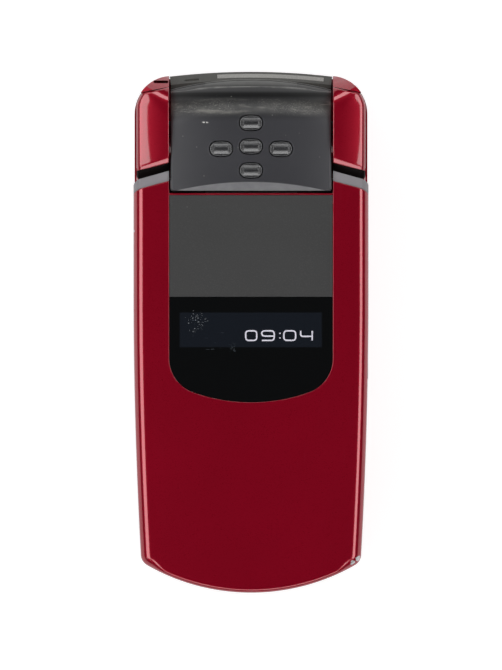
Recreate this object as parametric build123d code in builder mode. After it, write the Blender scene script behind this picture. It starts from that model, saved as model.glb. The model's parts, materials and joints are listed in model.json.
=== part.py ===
from build123d import *
import os
from math import asin, cos, degrees, radians, sin, sqrt

# Clamshell phone, closed, lying on its back. Millimetres.
# X runs across the phone, +Y to the hinged top end, +Z up out of the lid.
# The origin is the middle of the phone's footprint on the surface it lies on.

os.makedirs("parts", exist_ok=True)

# ---- outline -------------------------------------------------------------
phone_length = 108.8
lid_width = 49.0
lid_overhang = 0.2        # of the lid over the base, at each side
side_taper = 1.6          # how far each side draws in towards the free end
taper_start = 46.4        # from the top end, up to here the sides are straight
free_end_bow = 6.45       # rise of the bowed free end from its corners
top_end_radius = 145.0    # the top end is a shallow arch
top_corner_radius = 8.0
free_corner_radius = 2.6

# ---- heights -------------------------------------------------------------
case_parting_z = 5.6
deck_z = 9.9
lid_gap = 0.7
lid_split = 4.0           # height of the lid's inner case at the sides
lid_mid_z = 18.5          # outer surface of the lid at the middle of the phone
lid_slope = 0.75          # degrees, falling to the free end
lid_crown_radius = 400.0

# ---- hinge ---------------------------------------------------------------
hinge_from_end = 11.9     # hinge line to the top end
hinge_z = 11.5
shoulder_radius = 10.95   # at a shoulder's inner face
shoulder_flare = 0.2      # growth of that radius for each millimetre outwards
shoulder_inset = 0.45     # of a shoulder's outer face from the side of the base
shoulder_top_z = 21.15    # of its top at the inner face, over the hinge line
shoulder_top_rise = 0.08  # of the top, to the back
shoulder_top_fall = 0.2   # of the top, outwards
shoulder_crown_radius = 34.0       # of the top, from front to back
barrel_radius = 10.2      # at the middle of the barrel
barrel_crown_radius = 66.0
barrel_width = 33.5
barrel_end_gap = 0.35
trough_clearance = 0.55   # round the barrel, so that the keys on it pass
lid_swing_gap = 0.3       # between a shoulder and the lid's grey end
lid_end_band = 1.85       # the grey end of the lid, seen beside the cover
hinge_pin_radius = 1.5
hinge_running_gap = 0.05
cam_unit_radius = 3.3
cam_unit_length = 14.0
pin_engagement = 4.5
facet_front_from_axis = 11.35
facet_front_z = 20.9
facet_back_from_axis = -1.5
crease_step = 0.08        # the facet stands this much over the barrel at its back edge
bevel_depth = 1.75
module_split = 1.6        # the module cover ends this much above the hinge line

# ---- walls and fits ------------------------------------------------------
wall = 1.4
lid_wall = 1.2
fit = 0.12                # between pieces of one body
key_gap = 0.15
key_travel = 0.25
seam = 0.05
seam_groove = 0.15         # seen on the shoulders, in front of the rear case's ears
base_bottom_fillet = 2.4
shoulder_fillet = 0.9
lid_edge_fillet = 2.4

# ---- lid furniture -------------------------------------------------------
notch_depth = 13.6        # the notch reaches this far in front of the hinge line
rim_bar = 0.4             # of the cover, between the notch and the pocket
pocket_margin = 0.3       # the pocket is this much wider than the barrel, at each side
pocket_length = 43.2
pocket_arc_radius = 36.0
pocket_corner_radius = 7.5
pocket_depth = 1.35
pocket_cover_drop = 0.06  # the plates in the pocket lie this much below the cover
panel_length = 21.2
panel_split_gap = 0.12
outer_display_size = (30.4, 8.0)
outer_display_gap = 2.6   # between the outer display and the trim panel
main_window_ends = (6.9, 18.4)     # from the notch, and from the free end
main_window_side = 4.5    # from the lid's side
main_display_border = (2.0, 3.0)
main_display_thickness = 2.0
bumper_radius = 1.7
bumper_recess = 0.4
bumper_from_side = (5.1, 2.9)      # at the free end, and at the hinge end
bumper_from_end = 8.6
bumper_from_end_wall = 1.6
earpiece_from_end = 9.2
earpiece_size = (12.0, 6.5, 1.8)
earpiece_slot = (9.0, 0.8)
earpiece_slot_pitch = 1.5
window_recess = 0.85
end_band_drop = 0.25      # the grey ends lie this much below the cover
cover_end_gap = 0.1       # between the grey ends and the cover

# ---- music keys on the hinge module --------------------------------------
music_key_length = 4.7
music_key_width = 3.1
music_key_gap = 0.15
music_key_proud = 0.18
music_key_travel = 0.3
music_key_places = {
    "up": (0.0, 1.0),
    "centre": (0.0, -3.9),
    "left": (-6.2, -4.4),
    "right": (6.2, -4.4),
    "down": (0.0, -8.9),
}
module_shell = 2.1

# ---- keypad --------------------------------------------------------------
key_proud = 0.3
key_side_margin = 3.3     # between the number keys and the side of the base
key_spacing = (1.2, 1.6)  # between the number keys
number_rows_start = 23.0  # from the middle of the nav ring to the first row
number_rows_end = 20.8    # from the last row to the free end
nav_from_hinge = 25.5
nav_ring_radius = 9.0
nav_hole_radius = 4.3
nav_key_radius = 3.95
side_key_gap = 1.15       # between the nav ring and the keys beside it
side_key_margin = 2.45    # between those keys and the side of the base
side_key_height = 6.6
soft_key_rise = 3.6       # above the middle of the nav ring
call_key_fall = 4.8
clear_key_size = (11.0, 4.6)
clear_key_fall = 14.0
key_corner = 1.6
key_edge = 0.2
key_flange = 0.45
key_flange_thickness = 0.55
deck_thickness = 1.25
rocker_size = (13.7, 2.3)
rocker_from_hinge = 28.5
rocker_pivot_radius = 0.55
camera_key_size = (7.6, 2.3)
camera_key_from_hinge = 48.5
side_button_corner = 0.75
side_button_lug = 0.25
side_button_proud = 0.15
side_button_thickness = 1.55

# ---- back and inside -----------------------------------------------------
cover_thickness = 1.1
cover_side_margin = 3.9   # from the side of the base
cover_lens_gap = 6.4      # between the battery cover and the camera window
battery_side_margin = 7.3  # from the side of the base
battery_thickness = 4.2
battery_end_margins = (8.4, 9.0)   # from the free end, and from the cover's top edge
battery_play = 0.25
battery_wall = 1.2
board_z = 6.5
board_thickness = 0.8
dome_thickness = 0.25
bay_floor_z = 5.75
camera_from_hinge = 18.5
camera_window_radius = 4.6
camera_body = 8.0
camera_lens_radius = 3.2
camera_lens_z = 1.6
camera_lens_length = 1.6
strap_slot_size = (3.1, 0.6)
strap_slot_from_edge = 4.58        # in the end cover, from its left edge
ear_slot_from_hinge = 9.6          # in the left shoulder
ear_slot_floor_z = 14.2
connector_size = (12.0, 2.6)
connector_z = 3.6
connector_depth = 5.0
connector_wall = (0.8, 0.55)
connector_setback = 0.9
microphone_from_end = 9.5
microphone_radius = 2.0
microphone_hole_radius = 0.6
board_edge_gap = 1.0
board_hole_margin = 0.5
dome_margin = 8.0         # of the dome sheet, beyond the key rows
inside_from_hinge = 20.3  # middle of the parts on each side of the camera
inside_gap = 1.25         # between them and the camera
inside_wall_gap = 5.55    # between them and the side of the base
antenna_length = 16.0
shield_can_length = 14.0
shield_can_height = 1.5
antenna_slot_shift = 3.0
speaker_inset = (0.75, 0.5)
speaker_height = 2.4
motor_radius = 1.25
motor_length = 9.5
motor_weight_length = 1.6
screw_head_radius = 1.5
screw_shank_radius = 0.7
screw_head_z = 1.6
screw_from_side = (3.7, 5.1)       # at the hinge end, and at the free end
screw_from_hinge = 13.5
screw_from_end = 9.4
end_window_gap = 1.68     # between the end window and the end cover's right edge
end_window_length = 22.4

# ---- places that follow from these ---------------------------------------
base_width = lid_width - 2 * lid_overhang
end_y = phone_length / 2
base_x = base_width / 2
lid_x = lid_width / 2
hinge_y = end_y - hinge_from_end
taper_start_y = end_y - taper_start
lid_z = deck_z + lid_gap
lid_split_z = lid_z + lid_split
barrel_x = barrel_width / 2
shoulder_x = barrel_x + barrel_end_gap
shoulder_width = base_x - shoulder_inset - shoulder_x
trough_radius = barrel_radius + trough_clearance
lid_end_radius = shoulder_radius + lid_swing_gap
cover_end_radius = lid_end_radius + lid_end_band
board_top_z = board_z + board_thickness
dome_top_z = board_top_z + dome_thickness
deck_under_z = deck_z - deck_thickness
key_top_z = deck_z + key_proud
tall = 40.0                          # longer than any height in the phone
module_split_z = hinge_z + module_split

notch_y = hinge_y - notch_depth
pocket_half = barrel_x + pocket_margin
pocket_top_y = notch_y - rim_bar
pocket_low_y = pocket_top_y - pocket_length
panel_split_y = pocket_top_y - panel_length
outer_display_top_y = panel_split_y - panel_split_gap - outer_display_gap
outer_display_y = outer_display_top_y - outer_display_size[1] / 2
main_window_size = (
    lid_width - 2 * main_window_side,
    notch_y + end_y - main_window_ends[0] - main_window_ends[1],
)
main_window_y = notch_y - main_window_ends[0] - main_window_size[1] / 2
main_display_size = (
    main_window_size[0] - 2 * main_display_border[0],
    main_window_size[1] - 2 * main_display_border[1],
)

nav_y = hinge_y - nav_from_hinge
number_rows_y = nav_y - number_rows_start
last_row_y = number_rows_end - end_y
number_key_pitch = (
    (2 * (base_x - key_side_margin) + key_spacing[0]) / 3,
    (number_rows_y - last_row_y) / 3,
)
number_key_size = (
    number_key_pitch[0] - key_spacing[0], number_key_pitch[1] - key_spacing[1]
)
side_key_size = (
    base_x - side_key_margin - nav_ring_radius - side_key_gap, side_key_height
)
side_key_x = base_x - side_key_margin - side_key_size[0] / 2
soft_key_y = nav_y + soft_key_rise
call_key_y = nav_y - call_key_fall
clear_key_y = nav_y - clear_key_fall
rocker_y = hinge_y - rocker_from_hinge
camera_key_y = hinge_y - camera_key_from_hinge

camera_y = hinge_y - camera_from_hinge
cover_half_width = base_x - cover_side_margin
cover_top_y = camera_y - camera_window_radius - cover_lens_gap
battery_width = 2 * (base_x - battery_side_margin)
battery_low_y = battery_end_margins[0] - end_y
battery_length = cover_top_y - battery_end_margins[1] - battery_low_y
battery_y = battery_low_y + battery_length / 2

hinge_line = Axis((0, hinge_y, hinge_z), (1, 0, 0))
axis_plane = Plane(origin=(0, hinge_y, hinge_z), x_dir=(1, 0, 0), z_dir=(0, 0, 1))
lid_plane = Plane(
    origin=(0, 0, lid_mid_z),
    x_dir=(1, 0, 0),
    z_dir=(0, -sin(radians(lid_slope)), cos(radians(lid_slope))),
)


def outline(width, top_arch, inset=0.0):
    """Plan of the phone: straight sides that draw in to a bowed free end."""
    half_width = width / 2 - inset
    end = end_y - inset
    corner = (half_width - side_taper, free_end_bow - end)
    shoulder_y = end - (top_end_radius - sqrt(top_end_radius**2 - half_width**2))
    with BuildPart() as prism:
        with BuildSketch():
            with BuildLine():
                TangentArc((half_width, taper_start_y), corner, tangent=(0, -1))
                TangentArc((-half_width, taper_start_y), (-corner[0], corner[1]), tangent=(0, -1))
                ThreePointArc((-corner[0], corner[1]), (0, -end), corner)
                Line((half_width, taper_start_y), (half_width, shoulder_y))
                Line((-half_width, taper_start_y), (-half_width, shoulder_y))
                if top_arch:
                    ThreePointArc((-half_width, shoulder_y), (0, end), (half_width, shoulder_y))
                else:
                    Line((-half_width, shoulder_y), (half_width, shoulder_y))
            make_face()
        extrude(amount=-1)
        corners = prism.edges().filter_by(Axis.Z).group_by(Axis.Y)
        fillet(corners[0], radius=free_corner_radius - inset / 2)
        if top_arch:
            corners = prism.edges().filter_by(Axis.Z).group_by(Axis.Y)
            fillet(corners[-1], radius=top_corner_radius - inset)
    return prism.faces().sort_by(Axis.Z)[-1]


base_plan = outline(base_width, True)
lid_plan = outline(lid_width, False)
base_cavity_plan = outline(base_width, True, wall)
lid_cavity_plan = outline(lid_width, False, lid_wall)


def slab(plan, low, high):
    """A plan carried straight up from low to high."""
    with BuildPart() as prism:
        with BuildSketch(Plane.XY.offset(low)):
            add(plan)
        extrude(amount=high - low)
    return prism.part


def block(x_low, x_high, y_low, y_high, z_low, z_high):
    """A plain rectangular space, used as a cutter or a limit."""
    with BuildPart() as space:
        with BuildSketch(Plane.XY.offset(z_low)):
            with Locations(((x_low + x_high) / 2, (y_low + y_high) / 2)):
                Rectangle(x_high - x_low, y_high - y_low)
        extrude(amount=z_high - z_low)
    return space.part


def hinge_drum(radius, x_low, x_high):
    """A cylinder about the hinge line."""
    with BuildPart() as drum:
        with BuildSketch(Plane.YZ.offset(x_low)):
            with Locations((hinge_y, hinge_z)):
                Circle(radius)
        extrude(amount=x_high - x_low)
    return drum.part


def flared(radius, x):
    """Radius, at a distance x from the middle, of a form that widens past the barrel."""
    return radius + shoulder_flare * (x - shoulder_x)


def flared_drum(radius, half_width):
    """A drum about the hinge line, whose two ends widen as the shoulders do."""
    end_radius = flared(radius, half_width)
    with BuildPart() as drum:
        with BuildSketch(axis_plane):
            with BuildLine():
                Polyline(
                    (-half_width, 0), (-half_width, end_radius), (-shoulder_x, radius),
                    (shoulder_x, radius), (half_width, end_radius), (half_width, 0), close=True,
                )
            make_face()
        revolve(axis=hinge_line)
    return drum.part


def crown_solid(drop):
    """Everything under the lid's crowned, sloping outer surface, lowered by drop."""
    half = lid_x + 4
    sag = lid_crown_radius - sqrt(lid_crown_radius**2 - half**2)
    far = lid_plane.from_local_coords((0, phone_length, -drop))
    face = Plane(origin=far, x_dir=(1, 0, 0), z_dir=-lid_plane.y_dir)
    with BuildPart() as under:
        with BuildSketch(face):
            with BuildLine():
                ThreePointArc((-half, -sag), (0, 0), (half, -sag))
                Polyline((-half, -sag), (-half, -tall), (half, -tall), (half, -sag))
            make_face()
        extrude(amount=2 * phone_length)
    return under.part


def base_envelope():
    """Outer form of the two base cases, up to the key deck."""
    with BuildPart() as envelope:
        add(slab(base_plan, 0, deck_z))
        fillet(envelope.edges().group_by(Axis.Z)[0], radius=base_bottom_fillet)
    return envelope.part


def lid_envelope():
    """Outer form of the lid, before the hinge end is cut."""
    with BuildPart() as envelope:
        add(slab(lid_plan, lid_z, lid_z + tall))
        add(crown_solid(0), mode=Mode.INTERSECT)
        outer = envelope.faces().sort_by(Axis.Z)[-1]
        rim = outer.edges().filter_by_position(Axis.Y, -end_y, hinge_y, (True, True))
        fillet(rim, radius=lid_edge_fillet)
    return envelope.part


base_form = base_envelope()
lid_form = lid_envelope()
trough = hinge_drum(trough_radius, -shoulder_x, shoulder_x)

# ==== shoulders of the base ====================================================

ear_seam_inner = 8.75     # behind the hinge line, at the shoulder's inner face
ear_seam_outer = 6.9


def shoulder_roof(side):
    """Space under a shoulder's top, which is bowed from front to back and falls outwards."""
    slope = shoulder_top_rise * shoulder_crown_radius
    with BuildPart() as roof:
        with BuildSketch(Plane.YZ.offset(side * (shoulder_x - 1))):
            with Locations((
                hinge_y + slope, shoulder_top_z + shoulder_top_fall - shoulder_crown_radius
            )):
                Circle(shoulder_crown_radius)
        extrude(amount=shoulder_width + 4, dir=(side, 0, -shoulder_top_fall))
    return roof.part


def shoulder(side):
    """One rolled shoulder of the base, side -1 at the left and 1 at the right."""
    outer_x = shoulder_x + shoulder_width
    low, high = sorted((side * shoulder_x, side * outer_x))
    with BuildPart() as roll:
        add(flared_drum(shoulder_radius, outer_x))
        add(block(low, high, 0, end_y + 5, -5, tall), mode=Mode.INTERSECT)
        add(shoulder_roof(side), mode=Mode.INTERSECT)
        outer_face = roll.faces().sort_by(Axis.X)[-1 if side > 0 else 0]
        fillet(outer_face.edges(), radius=shoulder_fillet)
        add(slab(base_plan, deck_z, tall), mode=Mode.INTERSECT)
        # the hinge pin's bore
        with BuildSketch(Plane.YZ):
            with Locations((hinge_y, hinge_z)):
                Circle(hinge_pin_radius + seam)
        extrude(amount=side * (shoulder_x + pin_engagement), mode=Mode.SUBTRACT)
    return roll.part


def rear_ear_limit(side, margin=0.0):
    """Where a shoulder is moulded on the rear case, behind a slanting seam."""
    inner = side * (shoulder_x - 1)
    outer = side * (base_x + 1)
    with BuildPart() as limit:
        with BuildSketch(Plane.XY.offset(case_parting_z)):
            with BuildLine():
                Polyline(
                    (inner, hinge_y + ear_seam_inner - margin),
                    (outer, hinge_y + ear_seam_outer - margin),
                    (outer, end_y + 5),
                    (inner, end_y + 5),
                    close=True,
                )
            make_face()
        extrude(amount=tall)
    return limit.part


left_roll = shoulder(-1)
right_roll = shoulder(1)


def rear_ear(side, roll):
    """The rear of a shoulder with the wall under it."""
    with BuildPart() as ear:
        add(base_form)
        low, high = sorted((side * shoulder_x, side * base_x))
        limit = block(low, high, hinge_y, end_y + 1, 0, tall)
        add(limit, mode=Mode.INTERSECT)
        with BuildSketch():
            with Locations(((low + high) / 2 - side * wall, hinge_y)):
                Rectangle(high - low, 2 * (end_y - hinge_y - 2 - wall))
        extrude(amount=deck_z - wall, mode=Mode.SUBTRACT)
        add(roll)
        add(rear_ear_limit(side), mode=Mode.INTERSECT)
    return ear.part


left_ear = rear_ear(-1, left_roll)
right_ear = rear_ear(1, right_roll)


# ==== base ================================================================

bay_half_x = battery_width / 2 + battery_play
bay_half_y = battery_length / 2 + battery_play
screw_places = [
    (screw_from_side[0] - base_x, hinge_y - screw_from_hinge),
    (base_x - screw_from_side[0], hinge_y - screw_from_hinge),
    (screw_from_side[1] - base_x, screw_from_end - end_y),
    (base_x - screw_from_side[1], screw_from_end - end_y),
]
end_cover_top_z = 4.8
end_cover_seat_z = 0.95
end_cover_half_width = shoulder_x - fit
end_cover_front_y = hinge_y + 7.2

with BuildPart() as base_rear_case:
    add(base_form)
    add(block(-base_x, base_x, -end_y, end_y, case_parting_z, tall), mode=Mode.SUBTRACT)
    # hollow inside, with a floor thick enough for the battery cover's recess
    with BuildSketch(Plane.XY.offset(cover_thickness + wall)):
        add(base_cavity_plan)
    extrude(amount=tall, mode=Mode.SUBTRACT)
    # the rear of each shoulder, down to the case
    add(left_ear)
    add(right_ear)
    # the wall between the battery and the board
    with BuildSketch(Plane.XY.offset(cover_thickness)):
        with Locations((0, battery_y)):
            Rectangle(2 * (bay_half_x + battery_wall), 2 * (bay_half_y + battery_wall))
    extrude(amount=bay_floor_z + 0.5 - cover_thickness)
    with BuildSketch():
        with Locations((0, battery_y)):
            RectangleRounded(2 * bay_half_x, 2 * bay_half_y, 1.0)
    extrude(amount=bay_floor_z, mode=Mode.SUBTRACT)
    # recess that the battery cover slides in, open at the free end
    cover_recess = block(
        -cover_half_width - fit, cover_half_width + fit,
        -end_y - 1, cover_top_y + fit, -1, cover_thickness + fit,
    )
    add(cover_recess, mode=Mode.SUBTRACT)
    # the hinge barrel's trough, and the seat of the top end cover
    add(trough, mode=Mode.SUBTRACT)
    add(
        block(-shoulder_x, shoulder_x, end_cover_front_y, end_y + 1, end_cover_seat_z, tall),
        mode=Mode.SUBTRACT,
    )
    # a strap slot in the left shoulder
    with BuildSketch(Plane.XY.offset(ear_slot_floor_z)):
        with Locations((-shoulder_x - strap_slot_size[0] / 2 - fit, hinge_y + ear_slot_from_hinge)):
            SlotOverall(*strap_slot_size)
    extrude(amount=tall, mode=Mode.SUBTRACT)
    # camera, connector and screws
    with BuildSketch():
        with Locations((0, camera_y)):
            Circle(camera_window_radius + fit)
    extrude(amount=tall, mode=Mode.SUBTRACT)
    with BuildSketch(Plane.XZ.offset(end_y)):
        with Locations((0, connector_z)):
            RectangleRounded(connector_size[0] + 0.4, connector_size[1] + 0.4, 0.6)
    extrude(amount=-connector_depth - 3, mode=Mode.SUBTRACT)
    with BuildSketch():
        with Locations(*screw_places):
            Circle(screw_head_radius + fit)
    extrude(amount=screw_head_z + fit, mode=Mode.SUBTRACT)
    with BuildSketch():
        with Locations(*screw_places):
            Circle(screw_shank_radius + fit)
    extrude(amount=tall, mode=Mode.SUBTRACT)

with BuildPart() as battery_cover:
    add(base_form)
    add(
        block(-cover_half_width, cover_half_width, -end_y, cover_top_y, 0, cover_thickness),
        mode=Mode.INTERSECT,
    )
    # two shallow thumb grips
    with BuildSketch():
        with GridLocations(0, 2.2, 1, 5):
            with Locations((0, cover_top_y - 9)):
                SlotOverall(14, 1.0)
    extrude(amount=0.3, mode=Mode.SUBTRACT)

with BuildPart() as battery:
    with BuildSketch(Plane.XY.offset(cover_thickness + fit + 0.03)):
        with Locations((0, battery_y)):
            RectangleRounded(battery_width, battery_length, 0.8)
    extrude(amount=battery_thickness)
    fillet(battery.edges().group_by(Axis.Z)[-1], radius=0.5)

with BuildPart() as base_front_case:
    add(base_form)
    add(block(-base_x, base_x, -end_y, end_y, -1, case_parting_z + seam), mode=Mode.SUBTRACT)
    with BuildSketch(Plane.XY.offset(-1)):
        add(base_cavity_plan)
    extrude(amount=deck_under_z + 1, mode=Mode.SUBTRACT)
    add(trough, mode=Mode.SUBTRACT)
    add(rear_ear_limit(-1, seam_groove), mode=Mode.SUBTRACT)
    add(rear_ear_limit(1, seam_groove), mode=Mode.SUBTRACT)
    # nothing crosses the barrel behind the hinge line
    add(block(-shoulder_x, shoulder_x, hinge_y, end_y + 1, -1, tall), mode=Mode.SUBTRACT)
    # number keys, in four rows of three
    with BuildSketch(Plane.XY.offset(deck_z)):
        with Locations((0, (number_rows_y + last_row_y) / 2)):
            with GridLocations(number_key_pitch[0], number_key_pitch[1], 3, 4):
                RectangleRounded(
                    number_key_size[0] + 2 * key_gap, number_key_size[1] + 2 * key_gap,
                    key_corner + key_gap,
                )
        with Locations((-side_key_x, soft_key_y), (side_key_x, soft_key_y),
                       (-side_key_x, call_key_y), (side_key_x, call_key_y)):
            RectangleRounded(
                side_key_size[0] + 2 * key_gap, side_key_size[1] + 2 * key_gap,
                key_corner + key_gap,
            )
        with Locations((0, clear_key_y)):
            RectangleRounded(
                clear_key_size[0] + 2 * key_gap, clear_key_size[1] + 2 * key_gap,
                key_corner + key_gap,
            )
        with Locations((0, nav_y)):
            Circle(nav_ring_radius + key_gap)
    extrude(amount=-2 * deck_thickness, mode=Mode.SUBTRACT)
    # microphone hole
    with BuildSketch(Plane.XY.offset(deck_z)):
        with Locations((0, microphone_from_end - end_y)):
            Circle(microphone_hole_radius)
    extrude(amount=-2 * deck_thickness, mode=Mode.SUBTRACT)
    # side key windows
    side_z = (case_parting_z + deck_z) / 2
    with BuildSketch(Plane.YZ.offset(-base_x - 1)):
        with Locations((rocker_y, side_z)):
            RectangleRounded(
                rocker_size[0] + 2 * key_gap, rocker_size[1] + 2 * key_gap,
                side_button_corner + key_gap,
            )
    extrude(amount=wall + 2, mode=Mode.SUBTRACT)
    with BuildSketch(Plane.YZ.offset(base_x + 1)):
        with Locations((camera_key_y, side_z)):
            RectangleRounded(
                camera_key_size[0] + 2 * key_gap, camera_key_size[1] + 2 * key_gap,
                side_button_corner + key_gap,
            )
    extrude(amount=-wall - 2, mode=Mode.SUBTRACT)


with BuildPart() as left_shoulder:
    add(left_roll)
    add(rear_ear_limit(-1, seam_groove), mode=Mode.SUBTRACT)

with BuildPart() as right_shoulder:
    add(right_roll)
    add(rear_ear_limit(1, seam_groove), mode=Mode.SUBTRACT)

arch_axis = Axis((0, end_y - top_end_radius, 0), (0, 0, 1))


def arched(points, x_low, x_high):
    """A profile in the YZ plane carried round the top end's arch between two widths."""
    start = degrees(asin(x_low / top_end_radius))
    turn = degrees(asin(x_high / top_end_radius)) - start
    with BuildPart() as sweep_part:
        with BuildSketch(Plane.YZ):
            with BuildLine():
                Polyline(*points, close=True)
            make_face()
        revolve(axis=arch_axis, revolution_arc=turn)
    return sweep_part.part.rotate(arch_axis, -degrees(asin(x_high / top_end_radius)))


slope_foot = (end_y, 2.2)
slope_head = (end_y - 1.8, end_cover_top_z)
slope_run = (slope_head[0] - slope_foot[0], slope_head[1] - slope_foot[1])
slope_length = sqrt(slope_run[0] ** 2 + slope_run[1] ** 2)
slope_dir = (slope_run[0] / slope_length, slope_run[1] / slope_length)
slope_out = (slope_dir[1], -slope_dir[0])
strip_thickness = 0.6
strip_margins = (0.75, 1.0)        # from the slope's foot, and from its head
end_window_x = end_cover_half_width - end_window_gap


def strip_points(margin, depth):
    """Section of the window strip that lies in the slope, grown by a margin."""
    low = strip_margins[0] - margin
    high = slope_length - strip_margins[1] + margin
    corners = []
    for along, out in ((low, 0.0), (high, 0.0), (high, -depth), (low, -depth)):
        corners.append((
            slope_foot[0] + along * slope_dir[0] + out * slope_out[0],
            slope_foot[1] + along * slope_dir[1] + out * slope_out[1],
        ))
    return corners


with BuildPart() as top_end_cover:
    add(arched(
        [
            (hinge_y + 6, end_cover_seat_z + seam), (end_y - 0.85, end_cover_seat_z + seam),
            slope_foot, slope_head, (hinge_y + 6, end_cover_top_z),
        ],
        -end_cover_half_width, end_cover_half_width,
    ))
    add(block(
        -end_cover_half_width, end_cover_half_width, end_cover_front_y + seam, end_y + 1, 0, tall,
    ), mode=Mode.INTERSECT)
    add(trough, mode=Mode.SUBTRACT)
    add(arched(
        strip_points(seam, strip_thickness + seam),
        end_window_x - end_window_length - seam, end_window_x + seam,
    ), mode=Mode.SUBTRACT)
    # the other strap slot
    with BuildSketch(Plane.XZ.offset(-end_y - 1)):
        with Locations((strap_slot_from_edge - end_cover_half_width, 3.9)):
            SlotOverall(*strap_slot_size)
    extrude(amount=4.0, mode=Mode.SUBTRACT)

with BuildPart() as top_end_window:
    add(arched(
        strip_points(0, strip_thickness), end_window_x - end_window_length, end_window_x
    ))


# ==== inside the base ======================================================

board_top_y = hinge_y - trough_radius - board_edge_gap
board_hole_radius = screw_shank_radius + board_hole_margin
inside_y = hinge_y - inside_from_hinge
inside_low_x = camera_body / 2 + inside_gap
inside_high_x = base_x - inside_wall_gap
inside_x = (inside_low_x + inside_high_x) / 2
inside_width = inside_high_x - inside_low_x
inside_floor_z = cover_thickness + wall

with BuildPart() as main_board:
    with BuildSketch(Plane.XY.offset(board_z)):
        add(outline(base_width, False, wall + board_edge_gap))
        with Locations((0, board_top_y + end_y)):
            Rectangle(3 * base_width, 2 * end_y, mode=Mode.SUBTRACT)
        with Locations(*screw_places):
            Circle(board_hole_radius, mode=Mode.SUBTRACT)
    extrude(amount=board_thickness)

with BuildPart() as keypad_dome_sheet:
    with BuildSketch(Plane.XY.offset(board_top_z)):
        with Locations((0, (nav_y + last_row_y) / 2)):
            RectangleRounded(
                2 * (base_x - key_side_margin), nav_y - last_row_y + 2 * dome_margin, 2.0
            )
        with Locations(*screw_places):
            Circle(board_hole_radius, mode=Mode.SUBTRACT)
    extrude(amount=dome_thickness)

with BuildPart() as shield_can:
    with BuildSketch(Plane.XY.offset(board_z - shield_can_height)):
        with Locations((-inside_x, inside_y)):
            RectangleRounded(inside_width, shield_can_length, 0.6)
    extrude(amount=shield_can_height)
    chamfer(shield_can.edges().group_by(Axis.Z)[0], length=0.25)

with BuildPart() as loudspeaker:
    with BuildSketch(Plane.XY.offset(inside_floor_z)):
        with Locations((inside_x, inside_y)):
            RectangleRounded(
                inside_width - 2 * speaker_inset[0], antenna_length - 2 * speaker_inset[1], 3.0
            )
    extrude(amount=speaker_height)
    chamfer(loudspeaker.edges().group_by(Axis.Z)[0], length=0.4)

with BuildPart() as antenna:
    with BuildSketch(Plane.XY.offset(inside_floor_z + speaker_height)):
        with Locations((inside_x, inside_y)):
            RectangleRounded(inside_width, antenna_length, 1.5)
            # two slots that fold its path
            with Locations((-antenna_slot_shift, -antenna_slot_shift),
                           (antenna_slot_shift, antenna_slot_shift)):
                Rectangle(inside_width - 1.5 * antenna_slot_shift, 1.2, mode=Mode.SUBTRACT)
    extrude(amount=board_z - inside_floor_z - speaker_height)

with BuildPart() as vibration_motor:
    with BuildSketch(Plane.YZ.offset(-inside_high_x)):
        with Locations((inside_y, inside_floor_z + motor_radius)):
            Circle(motor_radius)
    extrude(amount=motor_length)
    # its off-centre weight, on the shaft
    with BuildSketch(Plane.YZ.offset(motor_length - inside_high_x)):
        with Locations((inside_y, inside_floor_z + motor_radius)):
            Circle(motor_radius - seam)
            Rectangle(2 * motor_radius, motor_radius, align=(Align.CENTER, Align.MAX),
                      mode=Mode.SUBTRACT)
    extrude(amount=motor_weight_length)

connector_inner = (
    connector_size[0] - 2 * connector_wall[0], connector_size[1] - 2 * connector_wall[1]
)

with BuildPart() as system_connector:
    with BuildSketch(Plane.XZ.offset(end_y - connector_setback)):
        with Locations((0, connector_z)):
            RectangleRounded(*connector_size, 0.5)
    extrude(amount=-connector_depth)
    with BuildSketch(Plane.XZ.offset(end_y - connector_setback)):
        with Locations((0, connector_z)):
            RectangleRounded(*connector_inner, 0.4)
    extrude(amount=connector_wall[0] - connector_depth, mode=Mode.SUBTRACT)
    # the tongue that carries the contacts
    with BuildSketch(Plane.XZ.offset(end_y - connector_setback - connector_wall[0])):
        with Locations((0, connector_z)):
            Rectangle(connector_inner[0] - 1.0, connector_inner[1] / 3)
    extrude(amount=connector_wall[0] - connector_depth)

with BuildPart() as microphone:
    with BuildSketch(Plane.XY.offset(board_top_z)):
        with Locations((0, microphone_from_end - end_y)):
            Circle(microphone_radius)
    extrude(amount=1.3)

with BuildPart() as camera_module:
    with BuildSketch(Plane.XY.offset(camera_lens_z)):
        with Locations((0, camera_y)):
            Circle(camera_lens_radius)
    extrude(amount=camera_lens_length)
    with BuildSketch(Plane.XY.offset(camera_lens_z + camera_lens_length)):
        with Locations((0, camera_y)):
            RectangleRounded(camera_body, camera_body, 0.4)
    extrude(amount=board_z - camera_lens_z - camera_lens_length)
    with BuildSketch(Plane.XY.offset(camera_lens_z)):
        with Locations((0, camera_y)):
            Circle(camera_lens_radius / 2)
    extrude(amount=0.9, mode=Mode.SUBTRACT, taper=20)

with BuildPart() as camera_window:
    with BuildSketch(Plane.XY.offset(0.15)):
        with Locations((0, camera_y)):
            Circle(camera_window_radius)
    extrude(amount=1.0)
    chamfer(camera_window.edges().group_by(Axis.Z)[0], length=0.25)

with BuildPart() as case_screws:
    with BuildSketch(Plane.XY.offset(cover_thickness + fit + 0.05)):
        with Locations(*screw_places):
            Circle(screw_head_radius)
    extrude(amount=screw_head_z - cover_thickness - fit - 0.1)
    with BuildSketch(Plane.XY.offset(cover_thickness + 0.3)):
        with Locations(*screw_places):
            Circle(screw_shank_radius)
    extrude(amount=deck_under_z - cover_thickness - 0.4)

pin_reach = 3.6           # of each hinge pin into the barrel

with BuildPart() as hinge_pins:
    for low, high in (
        (-shoulder_x - pin_engagement + fit, -barrel_x + pin_reach),
        (barrel_x - pin_reach, shoulder_x + pin_engagement - fit),
    ):
        add(hinge_drum(hinge_pin_radius, low, high))


# ==== keys of the base =====================================================

key_bottom_z = dome_top_z + key_travel + 0.1


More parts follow.
